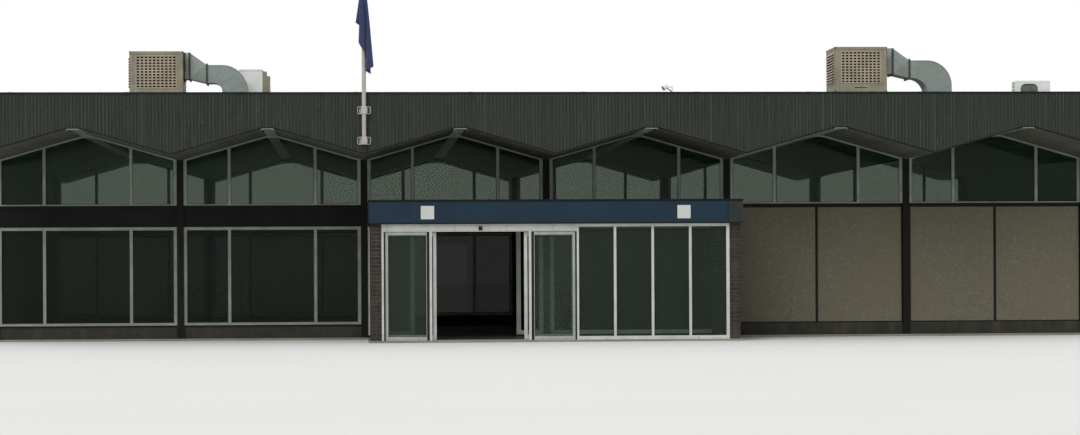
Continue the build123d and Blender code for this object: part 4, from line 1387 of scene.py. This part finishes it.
cabinet_trim = Pile()
side_louvres = Pile()
pads = Pile()
feet = Pile()
for (low, high), (plate_low, plate_high) in zip(islands("cooler_cabinets"), islands("cooler_louvres")):
    top = high.z
    base = top - COOLER_HEIGHT
    half_x, half_y = (high.x - low.x) / 2, (high.y - low.y) / 2
    middle_x, middle_y = (low.x + high.x) / 2, (low.y + high.y) / 2
    front = Side((middle_x, low.y, 0), (1, 0, 0), (0, -1, 0))
    faces = (
        (front, half_x, False),
        (Side((middle_x, high.y, 0), (-1, 0, 0), (0, 1, 0)), half_x, True),
        (Side((low.x, middle_y, 0), (0, -1, 0), (-1, 0, 0)), half_y, True),
        (Side((high.x, middle_y, 0), (0, 1, 0), (1, 0, 0)), half_y, False),
    )
    for side, half, louvred in faces:
        reach = (-half - LID_PROUD, half + LID_PROUD)
        cabinet_trim.slab(side, reach, (top - LID_HEIGHT, top + LID_LAP), (-LID_BED, LID_PROUD),
                          LID_CHAMFER, 0.25)
        cabinet_trim.slab(side, reach, (base - LID_LAP, base + TRAY_HEIGHT), (-LID_BED, LID_PROUD),
                          LID_CHAMFER, 0.9)
        for turn in (-1, 1):
            u = sorted((turn * (half + POST_PROUD), turn * (half - POST_WIDTH)))
            cabinet_trim.slab(side, u, (base + TRAY_HEIGHT, top - LID_HEIGHT), (-0.002, POST_PROUD),
                              SHEET_CHAMFER, 0.0)
        for turn in (-1, 1):
            for w in (top - LID_HEIGHT / 2, base + TRAY_HEIGHT / 2):
                cabinet_trim.dome(side.at(turn * (half - 0.05), w, LID_PROUD), 0.008, side.out, tone=1)
        if louvred:
            add_side_louvre(side, top)
    peak = (middle_x, middle_y, top + LID_PEAK)
    rim = [(low.x, low.y, top), (high.x, low.y, top), (high.x, high.y, top), (low.x, high.y, top)]
    cabinet_trim.add(rim + [peak], [(0, 1, 4), (1, 2, 4), (2, 3, 4), (3, 0, 4)], 0.3)
    slot = base + SLOT_TOP - SLOT_HEIGHT
    side_louvres.slab(front, (-SLOT_HALF, SLOT_HALF), (slot, slot + SLOT_HOOD), (0, LOUVRE_PROUD),
                      SHEET_CHAMFER, 0.3)
    pads.slab(front, (-SLOT_HALF, SLOT_HALF), (slot - SLOT_DROP, slot), (-0.001, PAD_PROUD))
    pads.box((plate_low.x, plate_high.x), (low.y + LATTICE_PAD[0], low.y + LATTICE_PAD[1]),
             (plate_low.z, plate_high.z))
    add_foot_plates(feet, low, high)
piece(cabinet_trim, "cooler_trim", beige_enamel)
piece(side_louvres, "cooler_side_louvres", cream_enamel)
piece(pads, "cooler_pads", wet_pad)


# Duct work: dark bolted flanges, cross-broken sheets and standing seams
DUCT_HEIGHT = 0.592
DUCT_HALF_DEPTH = 0.28
DUCT_GAP = 0.003
FLANGE = 0.032
FLANGE_HALF = 0.015
FLANGE_SKIN = 0.002
TAPER = 0.39
TAPER_DROP = 0.28
ELBOW_HEIGHT = 0.405
ELBOW_WIDTH = 0.57
ELBOW_RADIUS = 0.575
DUCT_RUNS = ((0.135, 0.345, 0.19), (0.2, 0.415, 0.35))
BREAK = 0.022
BREAK_BED = 0.0005
SEAM_WIDTH = 0.014
SEAM_RISE = 0.008
ARC_STEPS = 12
FLANGE_BOLTS = 5
BASE_ANGLE = 0.04
BASE_ANGLE_DEPTH = 0.032
BASE_ANGLE_PROUD = 0.03
BASE_LEVELS = (DECK_TOP, DECK_TOP + 0.09)
flanges = Pile()
seams = Pile()


def add_flange(x, z_low, z_high):
    """A dark flange over the solid one, with bolts through its rim."""
    reach = DUCT_HALF_DEPTH + FLANGE + FLANGE_SKIN
    flanges.box(about(x, FLANGE_HALF), about(duct_y, reach),
                (z_low - FLANGE - FLANGE_SKIN, z_high + FLANGE_SKIN), 0.2)
    for turn in (-1, 1):
        for n in range(FLANGE_BOLTS):
            z = z_low + (z_high - z_low) * (n + 0.5) / FLANGE_BOLTS
            for face in (-1, 1):
                bolt = (x + face * FLANGE_HALF, duct_y + turn * (DUCT_HALF_DEPTH + FLANGE / 2), z)
                flanges.bolt(bolt, 0.009, (face, 0, 0))


def arc_points(centre, radius, start, end):
    """Points of a quarter turn from the start angle to the end angle, in degrees."""
    points = []
    for n in range(ARC_STEPS + 1):
        angle = math.radians(start + (end - start) * n / ARC_STEPS)
        points.append((centre[0] + radius * math.cos(angle), centre[1] + radius * math.sin(angle)))
    return points


def strip_along(pile, side, points, width, rise, tone=0.4):
    """A narrow raised strip on the inner side of a line of points."""
    for (a, b), (c, d) in zip(points, points[1:]):
        along = Vector((c - a, d - b)).normalized()
        across = Vector((-along.y, along.x)) * width
        quad = [(a, b), (c, d), (c + across.x, d + across.y), (a + across.x, b + across.y)]
        pile.plate(side, quad, (0, rise), tone)


def seam_quad(first, last, width=0.007):
    """Outline of a thin strip between two points, anticlockwise."""
    first, last = Vector(first), Vector(last)
    along = (last - first).normalized()
    across = Vector((-along.y, along.x)) * width / 2
    return [tuple(first - across), tuple(last - across), tuple(last + across), tuple(first + across)]


for (low, high), (collar, run, throat) in zip(islands("cooler_cabinets"), DUCT_RUNS):
    start, top = high.x, high.z - DUCT_GAP
    duct_y = (low.y + high.y) / 2
    taper_start = start + collar
    taper_end = taper_start + TAPER
    elbow_top = top - TAPER_DROP
    elbow_base = elbow_top - ELBOW_HEIGHT
    inside = taper_end + run
    outside = inside + ELBOW_WIDTH
    add_flange(start + FLANGE_HALF, top - DUCT_HEIGHT, top)
    add_flange(taper_start, top - DUCT_HEIGHT, top)
    add_flange(taper_end, elbow_base, elbow_top + FLANGE)
    back_centre = (outside - ELBOW_RADIUS, elbow_top - ELBOW_RADIUS)
    throat_centre = (inside - throat, elbow_base - throat)
    outer = [(taper_end, elbow_top)] + arc_points(back_centre, ELBOW_RADIUS, 90, 0) + [(outside, DECK_TOP)]
    inner = [(taper_end, elbow_base)] + arc_points(throat_centre, throat, 90, 0) + [(inside, DECK_TOP)]
    for y, out in ((duct_y - DUCT_HALF_DEPTH, -1), (duct_y + DUCT_HALF_DEPTH, 1)):
        face = front_side(y) if out < 0 else Side((0, y, 0), (1, 0, 0), (0, 1, 0))
        quads = (
            [(taper_start, top - DUCT_HEIGHT), (taper_end, elbow_base), (taper_end, elbow_top),
             (taper_start, top)],
            [(start, top - DUCT_HEIGHT), (taper_start, top - DUCT_HEIGHT), (taper_start, top),
             (start, top)],
        )
        for quad in quads:
            centre_u = sum(u for u, w in quad) / 4
            centre_w = sum(w for u, w in quad) / 4
            points = [face.at(u, w, BREAK_BED) for u, w in quad] + [face.at(centre_u, centre_w, BREAK)]
            # Alternate facets of each cross-break take a higher tone, meant as painted light on one side of
            # the fold; the galvanised material does not read the tone
            for n in range(4):
                m = (n + 1) % 4
                facet = (n, m, 4) if out < 0 else (m, n, 4)
                seams.add(points, [facet], 0.5 * (n % 2))
        strip_along(seams, face, list(reversed(outer)), SEAM_WIDTH, SEAM_RISE, 0.9)
        strip_along(seams, face, inner, SEAM_WIDTH, SEAM_RISE, 0.9)
        for share in (0, ARC_STEPS // 2, ARC_STEPS):
            seams.prism(face, seam_quad(outer[share + 1], inner[share + 1]), (0, SEAM_RISE * 0.6), 0.7)
    for turn in (-1, 1):
        y = duct_y + turn * (DUCT_HALF_DEPTH + BASE_ANGLE_PROUD)
        flanges.box((inside - BASE_ANGLE, outside + BASE_ANGLE), sorted((y, y - turn * BASE_ANGLE_DEPTH)),
                    BASE_LEVELS, 0.6)
    for x in (inside - BASE_ANGLE, outside):
        flanges.box((x, x + BASE_ANGLE), about(duct_y, DUCT_HALF_DEPTH), BASE_LEVELS, 0.6)
piece(seams, "duct_seams", galvanised)
piece(flanges, "duct_flanges", dark_metal)


# Rear unit: lid, panel seams, screws and a weathered hood over its side outlet
REAR_WIDTH = 0.55
REAR_HEIGHT = 0.76
HOOD_WIDTH = 0.152
HOOD_DROP = 0.049
HOOD_STEP = 0.106
HOOD_HEIGHT = 0.62
LID = 0.035
SKIN = 0.003
SEAM_FACE = (-0.001, 0.002)
PANEL_FACE = (0, 0.004)
PANEL_BORDER = 0.03
PANEL_FOOT = 0.09
LOW_SEAM = (0.05, 0.053)
LID_SEAM = 0.004
SCREW_EDGE = 0.016
SCREW_FOOT = 0.12
SCREW_ROWS = 4
SCREW_SHORT = 0.22
rear_low, rear_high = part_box("rear_unit")
rear_base = rear_high.z - REAR_HEIGHT
rear_right = rear_low.x + REAR_WIDTH
rear_front = front_side(rear_low.y)
lid_base = rear_high.z - LID
rear_panels = Pile()
rear_seams = Pile()
for side, u in ((rear_front, (rear_low.x, rear_right)),
                (back_side(rear_high.y), (-rear_right, -rear_low.x))):
    rear_panels.slab(side, (u[0] - SKIN, u[1] + SKIN), (lid_base, rear_high.z + SKIN), (-0.01, 0.006),
                     SHEET_CHAMFER, 0.2)
    rear_panels.slab(side, (u[0] + PANEL_BORDER, u[1] - PANEL_BORDER),
                     (rear_base + PANEL_FOOT, lid_base - PANEL_BORDER), PANEL_FACE, SHEET_CHAMFER, 0.1)
    rear_seams.slab(side, u, (lid_base - LID_SEAM, lid_base), SEAM_FACE)
    rear_seams.slab(side, u, (rear_base + LOW_SEAM[0], rear_base + LOW_SEAM[1]), SEAM_FACE)
    for n in range(SCREW_ROWS):
        w = rear_base + SCREW_FOOT + n * (REAR_HEIGHT - SCREW_SHORT) / (SCREW_ROWS - 1)
        for edge in (u[0] + SCREW_EDGE, u[1] - SCREW_EDGE):
            rear_panels.bolt(side.at(edge, w, 0), SMALL_SCREW, side.out)
rear_seams.slab(rear_front, (rear_right - 0.006, rear_right + 0.002), (rear_base, lid_base),
                (-0.001, 0.006))
piece(rear_panels, "rear_unit_panels", plant_enamel)
piece(rear_seams, "rear_unit_seams", rubber)

hood_top = rear_high.z - HOOD_DROP
hood_skin = Pile()
left, step, right = (rear_right + width + SKIN for width in (0, HOOD_WIDTH / 2, HOOD_WIDTH))
foot, shoulder = hood_top - HOOD_HEIGHT - SKIN, hood_top - HOOD_STEP + SKIN
top = hood_top + SKIN
hood_outline = [(left, foot), (right, foot), (right, shoulder), (step, shoulder), (step, top), (left, top)]
hood_skin.prism(rear_front, hood_outline, (rear_low.y - rear_high.y - SKIN, SKIN), 0.3)
for share in (0.25, 0.5, 0.75):
    w = hood_top - HOOD_STEP - share * (HOOD_HEIGHT - HOOD_STEP)
    hood_skin.slab(rear_front, (rear_right + 0.01, rear_right + HOOD_WIDTH), (w, w + 0.01),
                   (SKIN, SKIN + 0.005), SHEET_CHAMFER, 0.0)
piece(hood_skin, "rear_unit_hood", beige_enamel)


# Outdoor unit: fan guard, blades and hub in the opening, lid, service cover and the coil's fins behind
UNIT_HEIGHT = 0.55
FAN_OFFSET = 0.075
FAN_OPENING = 0.41
FAN_RECESS = 0.05
GUARD_RINGS = 8
GUARD_SPOKES = 8
GUARD_WIRE = 0.0035
GUARD_RIM = 0.012
GUARD_HUB = 0.03
SPOKE_START = 0.02
SPOKE_DEPTH = 0.005
GUARD_FACE = (-0.004, 0.001)
BACKING_EDGE = 0.002
BACKING_FACE = (-FAN_RECESS - 0.001, -FAN_RECESS + 0.002)
FAN_BLADES = 3
FAN_HUB = 0.045
BLADE_ROOT = 0.03
BLADE_REACH = 0.17
BLADE_ARC = (-0.35, 0.2, 7)
BLADE_SHEET = (0.01, 0.016)
CIRCLE_SIDES = 40
FIN_PITCH = 0.011
FIN_BORDER = 0.06
FIN_PROUD = 0.006
FIN_END = 0.05


def around(centre, radius, turn):
    """A point in u and w at an angle round a centre."""
    return centre[0] + radius * math.cos(turn), centre[1] + radius * math.sin(turn)


unit_low, unit_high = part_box("condenser")
unit_front = front_side(unit_low.y)
unit_base = unit_high.z - UNIT_HEIGHT
fan = ((unit_low.x + unit_high.x) / 2 - FAN_OFFSET, unit_base + UNIT_HEIGHT / 2)
fan_guard = Pile()
fan_parts = Pile()
unit_trim = Pile()
fan_reach = FAN_OPENING / 2 - GUARD_RIM
for n in range(1, GUARD_RINGS + 1):
    radius = fan_reach * n / GUARD_RINGS
    outline = [around(fan, radius, 2 * math.pi * m / CIRCLE_SIDES) for m in range(CIRCLE_SIDES)]
    fan_guard.ring(unit_front, outline, GUARD_WIRE, GUARD_FACE, 0.3)
for n in range(GUARD_SPOKES):
    turn = 2 * math.pi * (n + 0.5) / GUARD_SPOKES
    tips = [unit_front.at(*around(fan, reach, turn), -SPOKE_DEPTH) for reach in (SPOKE_START, fan_reach)]
    fan_guard.rod(*tips, GUARD_WIRE / 2, sides=6, tone=0.3)
fan_guard.dome(unit_front.at(*fan, GUARD_FACE[0]), GUARD_HUB, FORWARD, sides=20, flat=0.25)
half = FAN_OPENING / 2 - BACKING_EDGE
fan_parts.slab(unit_front, about(fan[0], half), about(fan[1], half), BACKING_FACE)
fan_parts.dome(unit_front.at(*fan, BACKING_FACE[1]), FAN_HUB, FORWARD, sides=20, tone=0.8)
for n in range(FAN_BLADES):
    start = 2 * math.pi * n / FAN_BLADES
    first, pitch, count = BLADE_ARC
    outline = [around(fan, BLADE_ROOT, start)]
    outline += [around(fan, BLADE_REACH, start + first + pitch * step) for step in range(count)]
    fan_parts.prism(unit_front, outline, [depth - FAN_RECESS for depth in BLADE_SHEET], 0.9)
piece(fan_guard, "condenser_fan_guard", dark_metal)
piece(fan_parts, "condenser_fan", grey_frame)

unit_trim.slab(unit_front, (unit_low.x - SKIN, unit_high.x + SKIN),
               (unit_high.z - LID, unit_high.z - 0.022), PANEL_FACE, 0.001)
service = (unit_high.x - 0.2, unit_high.x - 0.02)
unit_trim.slab(unit_front, service, (unit_base + 0.03, unit_high.z - 0.06), PANEL_FACE, SHEET_CHAMFER, 0.1)
unit_side = right_side(unit_high.x)
unit_trim.slab(unit_side, (unit_low.y + 0.04, unit_low.y + 0.2), (unit_base + 0.04, unit_base + 0.26),
               (0, 0.02), 0.006, 0.3)
for w in (unit_base + 0.08, unit_base + UNIT_HEIGHT / 2, unit_high.z - 0.1):
    unit_trim.bolt(unit_front.at(unit_high.x - 0.035, w, PANEL_FACE[1]), SMALL_SCREW, FORWARD)
piece(unit_trim, "condenser_panels", plant_enamel)
fins = Pile()
unit_back = back_side(unit_high.y)
for n in range(int((unit_high.x - unit_low.x - 2 * FIN_BORDER) / FIN_PITCH)):
    u = -unit_high.x + FIN_BORDER + n * FIN_PITCH
    fins.slab(unit_back, (u, u + FIN_PITCH / 3), (unit_base + FIN_END, unit_high.z - FIN_END),
              (0, FIN_PROUD), tone=0.4 + 0.3 * random.random())
piece(fins, "condenser_coil_fins", galvanised)
add_foot_plates(feet, rear_low, Vector((rear_right, rear_high.y, rear_high.z)))
add_foot_plates(feet, unit_low, unit_high)
piece(feet, "plant_foot_plates", dark_metal)


# Roof lamp: bolted foot, cable gland and a glass front in a rim
lamp_low, lamp_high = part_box("roof_lamp")
LAMP_HEAD = 0.05
STAY_RADIUS = 0.012
LAMP_AIM = Vector((-0.75, -0.35, -0.55)).normalized()
FOOT_RADIUS = 0.045
FOOT_PLATE = Vector((0, 0, 0.008))
FOOT_BOLT_REACH = 0.033
RIM = (0.025, 0.062)
RIM_RADIUS = (0.05, 0.056)
GLAND = (0.04, 0.07)
GLAND_RADIUS = (0.02, 0.014)
LENS_RADIUS = 0.047
lamp_head = Vector((lamp_low.x + LAMP_HEAD, (lamp_low.y + lamp_high.y) / 2, lamp_high.z - LAMP_HEAD))
lamp_foot = Vector((lamp_high.x - 0.014, lamp_head.y, lamp_low.z))
lamp_parts = Pile()
lamp_parts.rod(lamp_foot, lamp_foot + FOOT_PLATE, FOOT_RADIUS, sides=20)
for turn in range(4):
    angle = math.pi / 2 * turn + math.pi / 4
    x, y = around((0, 0), FOOT_BOLT_REACH, angle)
    lamp_parts.bolt(lamp_foot + Vector((x, y, FOOT_PLATE.z)), SMALL_SCREW, UP, tone=0.5)
lamp_parts.rod(lamp_head + LAMP_AIM * RIM[0], lamp_head + LAMP_AIM * RIM[1], RIM_RADIUS[0], sides=24,
               end_radius=RIM_RADIUS[1])
lamp_parts.rod(lamp_head - LAMP_AIM * GLAND[0], lamp_head - LAMP_AIM * GLAND[1], GLAND_RADIUS[0], sides=16,
               end_radius=GLAND_RADIUS[1])
lamp_stay = Pile()
lamp_stay.rod(lamp_foot + Vector((0, 0.004, 0.01)), lamp_head, STAY_RADIUS, sides=12)
piece(lamp_parts, "roof_lamp_parts", plant_enamel)
piece(lamp_stay, "roof_lamp_stay", dark_metal)
lamp_lens = Pile()
lamp_lens.dome(lamp_head + LAMP_AIM * RIM[1], LENS_RADIUS, LAMP_AIM, sides=24, flat=0.25)
piece(lamp_lens, "roof_lamp_lens", door_glass)


# Entrance: dark strips that paint the shadow in the gaps beside the jambs and mullions and under the header
GAP_FACE = (-0.001, 0.002)
JAMB_GAP_FACE = (-0.03, 0.002)
STILE_SHADOW_WIDTH = 0.058
JAMB_GAP = (0.022, 0.012)
HEADER_GAP = 0.01
painted_shadow_strips = Pile()
post_face = front_side(ENTRANCE_FACE)
for (low, high), turn in zip(islands("sidelight_frames"), (1, -1)):
    stile_face = front_side(low.y)
    jamb_edge, mullion_edge = (low.x, high.x) if turn > 0 else (high.x, low.x)
    levels = (low.z, high.z)
    # Dark strip over most of the stile beside the mullion: painted shade
    shaded_stile = sorted((mullion_edge, mullion_edge - turn * STILE_SHADOW_WIDTH))
    painted_shadow_strips.slab(stile_face, shaded_stile, levels, GAP_FACE)
    gap = sorted((jamb_edge - turn * JAMB_GAP[0], jamb_edge + turn * JAMB_GAP[1]))
    painted_shadow_strips.slab(post_face, gap, levels, JAMB_GAP_FACE)
    painted_shadow_strips.slab(stile_face, (low.x, high.x), (high.z - HEADER_GAP, high.z), GAP_FACE)
piece(painted_shadow_strips, "sidelight_painted_shadow_strips", rubber)

# Entrance roof: sheet laps and the joints of the sign's capping
ROOF_SHEETS = 8
CAP_SHEETS = 4
ROOF_WALL_GAP = 0.06
entrance_laps = Pile()
cap_joints = Pile()
roof_low, roof_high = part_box("entrance_roof")
cap_low, cap_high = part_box("sign_capping")
for n in range(1, ROOF_SHEETS):
    x = roof_low.x + n * (roof_high.x - roof_low.x) / ROOF_SHEETS
    entrance_laps.box(about(x, LAP_WIDTH / 2), (roof_low.y, FRONT_Y - ROOF_WALL_GAP),
                      (roof_high.z, roof_high.z + LAP_HEIGHT), random.random())
for n in range(1, CAP_SHEETS):
    x = cap_low.x + n * (cap_high.x - cap_low.x) / CAP_SHEETS
    cap_joints.box(about(x, LAP_HALF), (cap_low.y - LAP_PROUD, ENTRANCE_FACE + 0.002),
                   (cap_low.z, cap_high.z + LAP_PROUD), 0.9)
piece(entrance_laps, "entrance_roof_laps", membrane)
piece(cap_joints, "sign_capping_joints", black_steel)


# Flagpole: bolts in the brackets, a plug in the foot, and the ties that hold the flag's hoist
BRACKET_BOLT_REACH = 0.098
BRACKET_BOLT_RISE = 0.038
COLLAR_BOLT_REACH = 0.046
TIE_WIDTH = 0.014
TIE_SKIN = 0.004
pole_low, pole_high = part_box("flagpole")
pole_centre = Vector(((pole_low.x + pole_high.x) / 2, (pole_low.y + pole_high.y) / 2, 0))
pole_radius = (pole_high.x - pole_low.x) / 2
pole_fixings = Pile()
for low, high in islands("flagpole_brackets"):
    middle = (low.z + high.z) / 2
    for turn in (-1, 1):
        for rise in (-BRACKET_BOLT_RISE, BRACKET_BOLT_RISE):
            plate_bolt = (pole_centre.x + turn * BRACKET_BOLT_REACH, FRONT_EDGE - 0.012, middle + rise)
            pole_fixings.bolt(plate_bolt, 0.012, FORWARD, 0.7)
            collar_bolt = (pole_centre.x + turn * COLLAR_BOLT_REACH, low.y, middle + rise)
            pole_fixings.bolt(collar_bolt, 0.008, FORWARD, 0.7)
foot = Vector((pole_centre.x, pole_centre.y, pole_low.z))
pole_fixings.rod(foot - Vector((0, 0, 0.012)), foot, pole_radius - 0.006, sides=24, tone=0.2)
piece(pole_fixings, "flagpole_fixings", galvanised)


# The limp flag: flat cloth tied along its hoist, let fall beside the pole in still air
FLAG_HOIST = 0.9
FLAG_FLY = 1.8
FLAG_ROWS = 33
FLAG_COLUMNS = 66
FLAG_FRAMES = 140
FLAG_FALL = (0.3, 0.3, -9.81)
FLAG_WAVE = 0.02
FLAG_CLEAR = 0.012
FOLD_KEPT = 0.055
FOLD_DRAW = 0.6
WAVE_TURNS = (14, 5, 2)
WAVE_START = 0.3
FLAG_DROP = 0.02
CLOTH_THICKNESS = 0.006
TIE_SHARES = (0.004, 0.5, 0.996)
KNOT_RADIUS = 0.013
flag_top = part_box("flag")[1].z - FLAG_DROP
hoist_y = pole_centre.y - pole_radius - FLAG_CLEAR


def flag_point(row, column):
    """A point of the cloth before it falls."""
    drop = FLAG_HOIST * row / FLAG_ROWS
    reach = FLAG_FLY * column / FLAG_COLUMNS
    along, down, shift = WAVE_TURNS
    wave = FLAG_WAVE * math.sin(along * reach + down * drop + shift) * min(reach / WAVE_START, 1)
    return (pole_centre.x + reach, hoist_y - wave, flag_top - drop)


def flag_mesh():
    """The flat cloth, a grid of four-sided faces."""
    width = FLAG_COLUMNS + 1
    verts = [flag_point(row, column) for row in range(FLAG_ROWS + 1) for column in range(width)]
    starts = [row * width + column for row in range(FLAG_ROWS) for column in range(FLAG_COLUMNS)]
    mesh = bpy.data.meshes.new("flag_cloth")
    mesh.from_pydata(verts, [], [(n, n + width, n + width + 1, n + 1) for n in starts])
    return mesh


def last_shape(cloth_object):
    """The cloth's mesh with its modifiers applied."""
    depsgraph = bpy.context.evaluated_depsgraph_get()
    mesh = bpy.data.meshes.new_from_object(cloth_object.evaluated_get(depsgraph))
    cloth_object.modifiers.clear()
    cloth_object.data = mesh
    return mesh


def let_fall(cloth_object):
    """Runs the cloth down onto the pole, keeps its last shape and draws its deep folds in."""
    scene = bpy.context.scene
    tube = Pile()
    bottom, head = (Vector((pole_centre.x, pole_centre.y, end.z)) for end in (pole_low, pole_high))
    tube.rod(bottom, head, pole_radius, sides=32)
    tube_mesh = bpy.data.meshes.new("fall_guide")
    tube_mesh.from_pydata(tube.verts, [], tube.faces)
    guide = bpy.data.objects.new("fall_guide", tube_mesh)
    scene.collection.objects.link(guide)
    guide.modifiers.new("collide", "COLLISION")
    guide.collision.thickness_outer = CLOTH_THICKNESS
    guide.collision.cloth_friction = 8
    hoist = cloth_object.vertex_groups.new(name="hoist")
    hoist.add([row * (FLAG_COLUMNS + 1) for row in range(FLAG_ROWS + 1)], 1, "REPLACE")
    fall = cloth_object.modifiers.new("fall", "CLOTH")
    fall.settings.vertex_group_mass = "hoist"
    fall.settings.quality = 7
    fall.settings.mass = 0.12
    fall.settings.air_damping = 1.5
    fall.settings.shear_stiffness = 3
    fall.settings.bending_stiffness = 0.15
    for kind in ("tension_damping", "compression_damping", "shear_damping"):
        setattr(fall.settings, kind, 8)
    fall.collision_settings.collision_quality = 3
    fall.collision_settings.distance_min = CLOTH_THICKNESS
    fall.collision_settings.use_self_collision = True
    fall.collision_settings.self_distance_min = CLOTH_THICKNESS
    fall.collision_settings.self_friction = 2
    still_air = tuple(scene.gravity)
    scene.gravity = FLAG_FALL
    scene.frame_start = 1
    scene.frame_end = FLAG_FRAMES
    fall.point_cache.frame_end = FLAG_FRAMES
    for number in range(1, FLAG_FRAMES + 1):
        scene.frame_set(number)
    fallen = last_shape(cloth_object)
    cloth_object.vertex_groups.clear()
    for vertex in fallen.vertices:
        depth = vertex.co.y - pole_centre.y
        spare = abs(depth) - FOLD_KEPT
        if spare > 0:
            vertex.co.y = pole_centre.y + math.copysign(FOLD_KEPT + spare * FOLD_DRAW, depth)
    bpy.data.objects.remove(guide)
    scene.gravity = still_air
    scene.frame_set(1)


flag = bpy.data.objects.new("flag_cloth", flag_mesh())
bpy.context.scene.collection.objects.link(flag)
let_fall(flag)
even = flag.modifiers.new("even", "SMOOTH")
even.iterations = 1
finer = flag.modifiers.new("finer", "SUBSURF")
finer.levels = 1
smooth_flag = last_shape(flag)
smooth_flag.materials.clear()
smooth_flag.materials.append(cloth)
smooth_flag.shade_smooth()
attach(flag, "building")
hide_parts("flag")

flag_ties = Pile()
for share in TIE_SHARES:
    z = flag_top - FLAG_HOIST * share
    start = Vector((pole_centre.x, pole_centre.y, z - TIE_WIDTH / 2))
    flag_ties.rod(start, start + Vector((0, 0, TIE_WIDTH)), pole_radius + TIE_SKIN, sides=28)
    knot = Vector((pole_centre.x, hoist_y + FLAG_CLEAR - TIE_SKIN, z))
    flag_ties.dome(knot, KNOT_RADIUS, FORWARD, sides=12, flat=0.9)
piece(flag_ties, "flag_ties", plate_enamel)


# Camera at the photograph's place
FRAME_WIDTH = 1080
FRAME_HEIGHT = 435
FOCAL = 2738.07
HORIZON = 268.77
CAMERA_X = -4.2974
CAMERA_DISTANCE = 61.8537
CAMERA_HEIGHT = 1.57861
YAW = 0.06701
ROLL = -0.0051
SENSOR = 36
FAR = 600

camera = bpy.data.cameras.new("camera")
camera.sensor_width = SENSOR
camera.lens = FOCAL / FRAME_WIDTH * SENSOR
camera.shift_y = (HORIZON - FRAME_HEIGHT / 2) / FRAME_WIDTH
camera.clip_end = FAR
viewer = bpy.data.objects.new("camera", camera)
bpy.context.scene.collection.objects.link(viewer)
right = Vector((math.cos(YAW), -math.sin(YAW), 0))
ahead = Vector((math.sin(YAW), math.cos(YAW), 0))
up = Vector(UP)
camera_right = right * math.cos(ROLL) + up * math.sin(ROLL)
camera_up = up * math.cos(ROLL) - right * math.sin(ROLL)
place = Vector((CAMERA_X, FRONT_Y - CAMERA_DISTANCE, CAMERA_HEIGHT))
rows = [(camera_right[i], camera_up[i], -ahead[i], place[i]) for i in range(3)] + [(0, 0, 0, 1)]
viewer.matrix_world = Matrix(rows)
bpy.context.scene.camera = viewer

# Plain pale floor, soft light and a white background
FLOOR_REACH = 220
floor_mesh = bpy.data.meshes.new("studio_floor")
corners = rectangle(about(0, FLOOR_REACH), about(0, FLOOR_REACH))
floor_mesh.from_pydata([(x, y, 0) for x, y in corners], [], [(0, 1, 2, 3)])
studio_floor = bpy.data.objects.new("studio_floor", floor_mesh)
floor_shade = Shader("studio_floor")
floor_shade.colour(floor_shade.blend(floor_shade.noise(0.2, 3), srgb(226, 226, 224), srgb(232, 232, 230)))
floor_shade.set(Roughness=0.9)
floor_mesh.materials.append(floor_shade.material)
bpy.context.scene.collection.objects.link(studio_floor)

SKY_LIGHT = 0.72
SUN_LIGHT = 1.5
SUN_SPREAD = 35
SUN_HEIGHT = 52
SUN_TURN = -28
WHITE = (1, 1, 1, 1)
world = bpy.data.worlds.new("studio")
bpy.context.scene.world = world
world.use_nodes = True
nodes, links = world.node_tree.nodes, world.node_tree.links
background = nodes["Background"]
seen = nodes.new("ShaderNodeBackground")
for sky, strength in ((background, SKY_LIGHT), (seen, 1.0)):
    sky.inputs["Color"].default_value = WHITE
    sky.inputs["Strength"].default_value = strength
ray = nodes.new("ShaderNodeLightPath")
seen_ray = ray.outputs["Is Camera Ray"]
for kind in ("Is Glossy Ray", "Is Transmission Ray"):
    either = nodes.new("ShaderNodeMath")
    either.operation = "MAXIMUM"
    links.new(seen_ray, either.inputs[0])
    links.new(ray.outputs[kind], either.inputs[1])
    seen_ray = either.outputs["Value"]
mix = nodes.new("ShaderNodeMixShader")
links.new(seen_ray, mix.inputs["Fac"])
links.new(background.outputs["Background"], mix.inputs[1])
links.new(seen.outputs["Background"], mix.inputs[2])
links.new(mix.outputs["Shader"], nodes["World Output"].inputs["Surface"])

sun = bpy.data.lights.new("soft_key", "SUN")
sun.energy = SUN_LIGHT
sun.angle = math.radians(SUN_SPREAD)
key = bpy.data.objects.new("soft_key", sun)
key.rotation_euler = (math.radians(SUN_HEIGHT), 0, math.radians(SUN_TURN))
bpy.context.scene.collection.objects.link(key)

bpy.context.scene.view_settings.view_transform = "Standard"
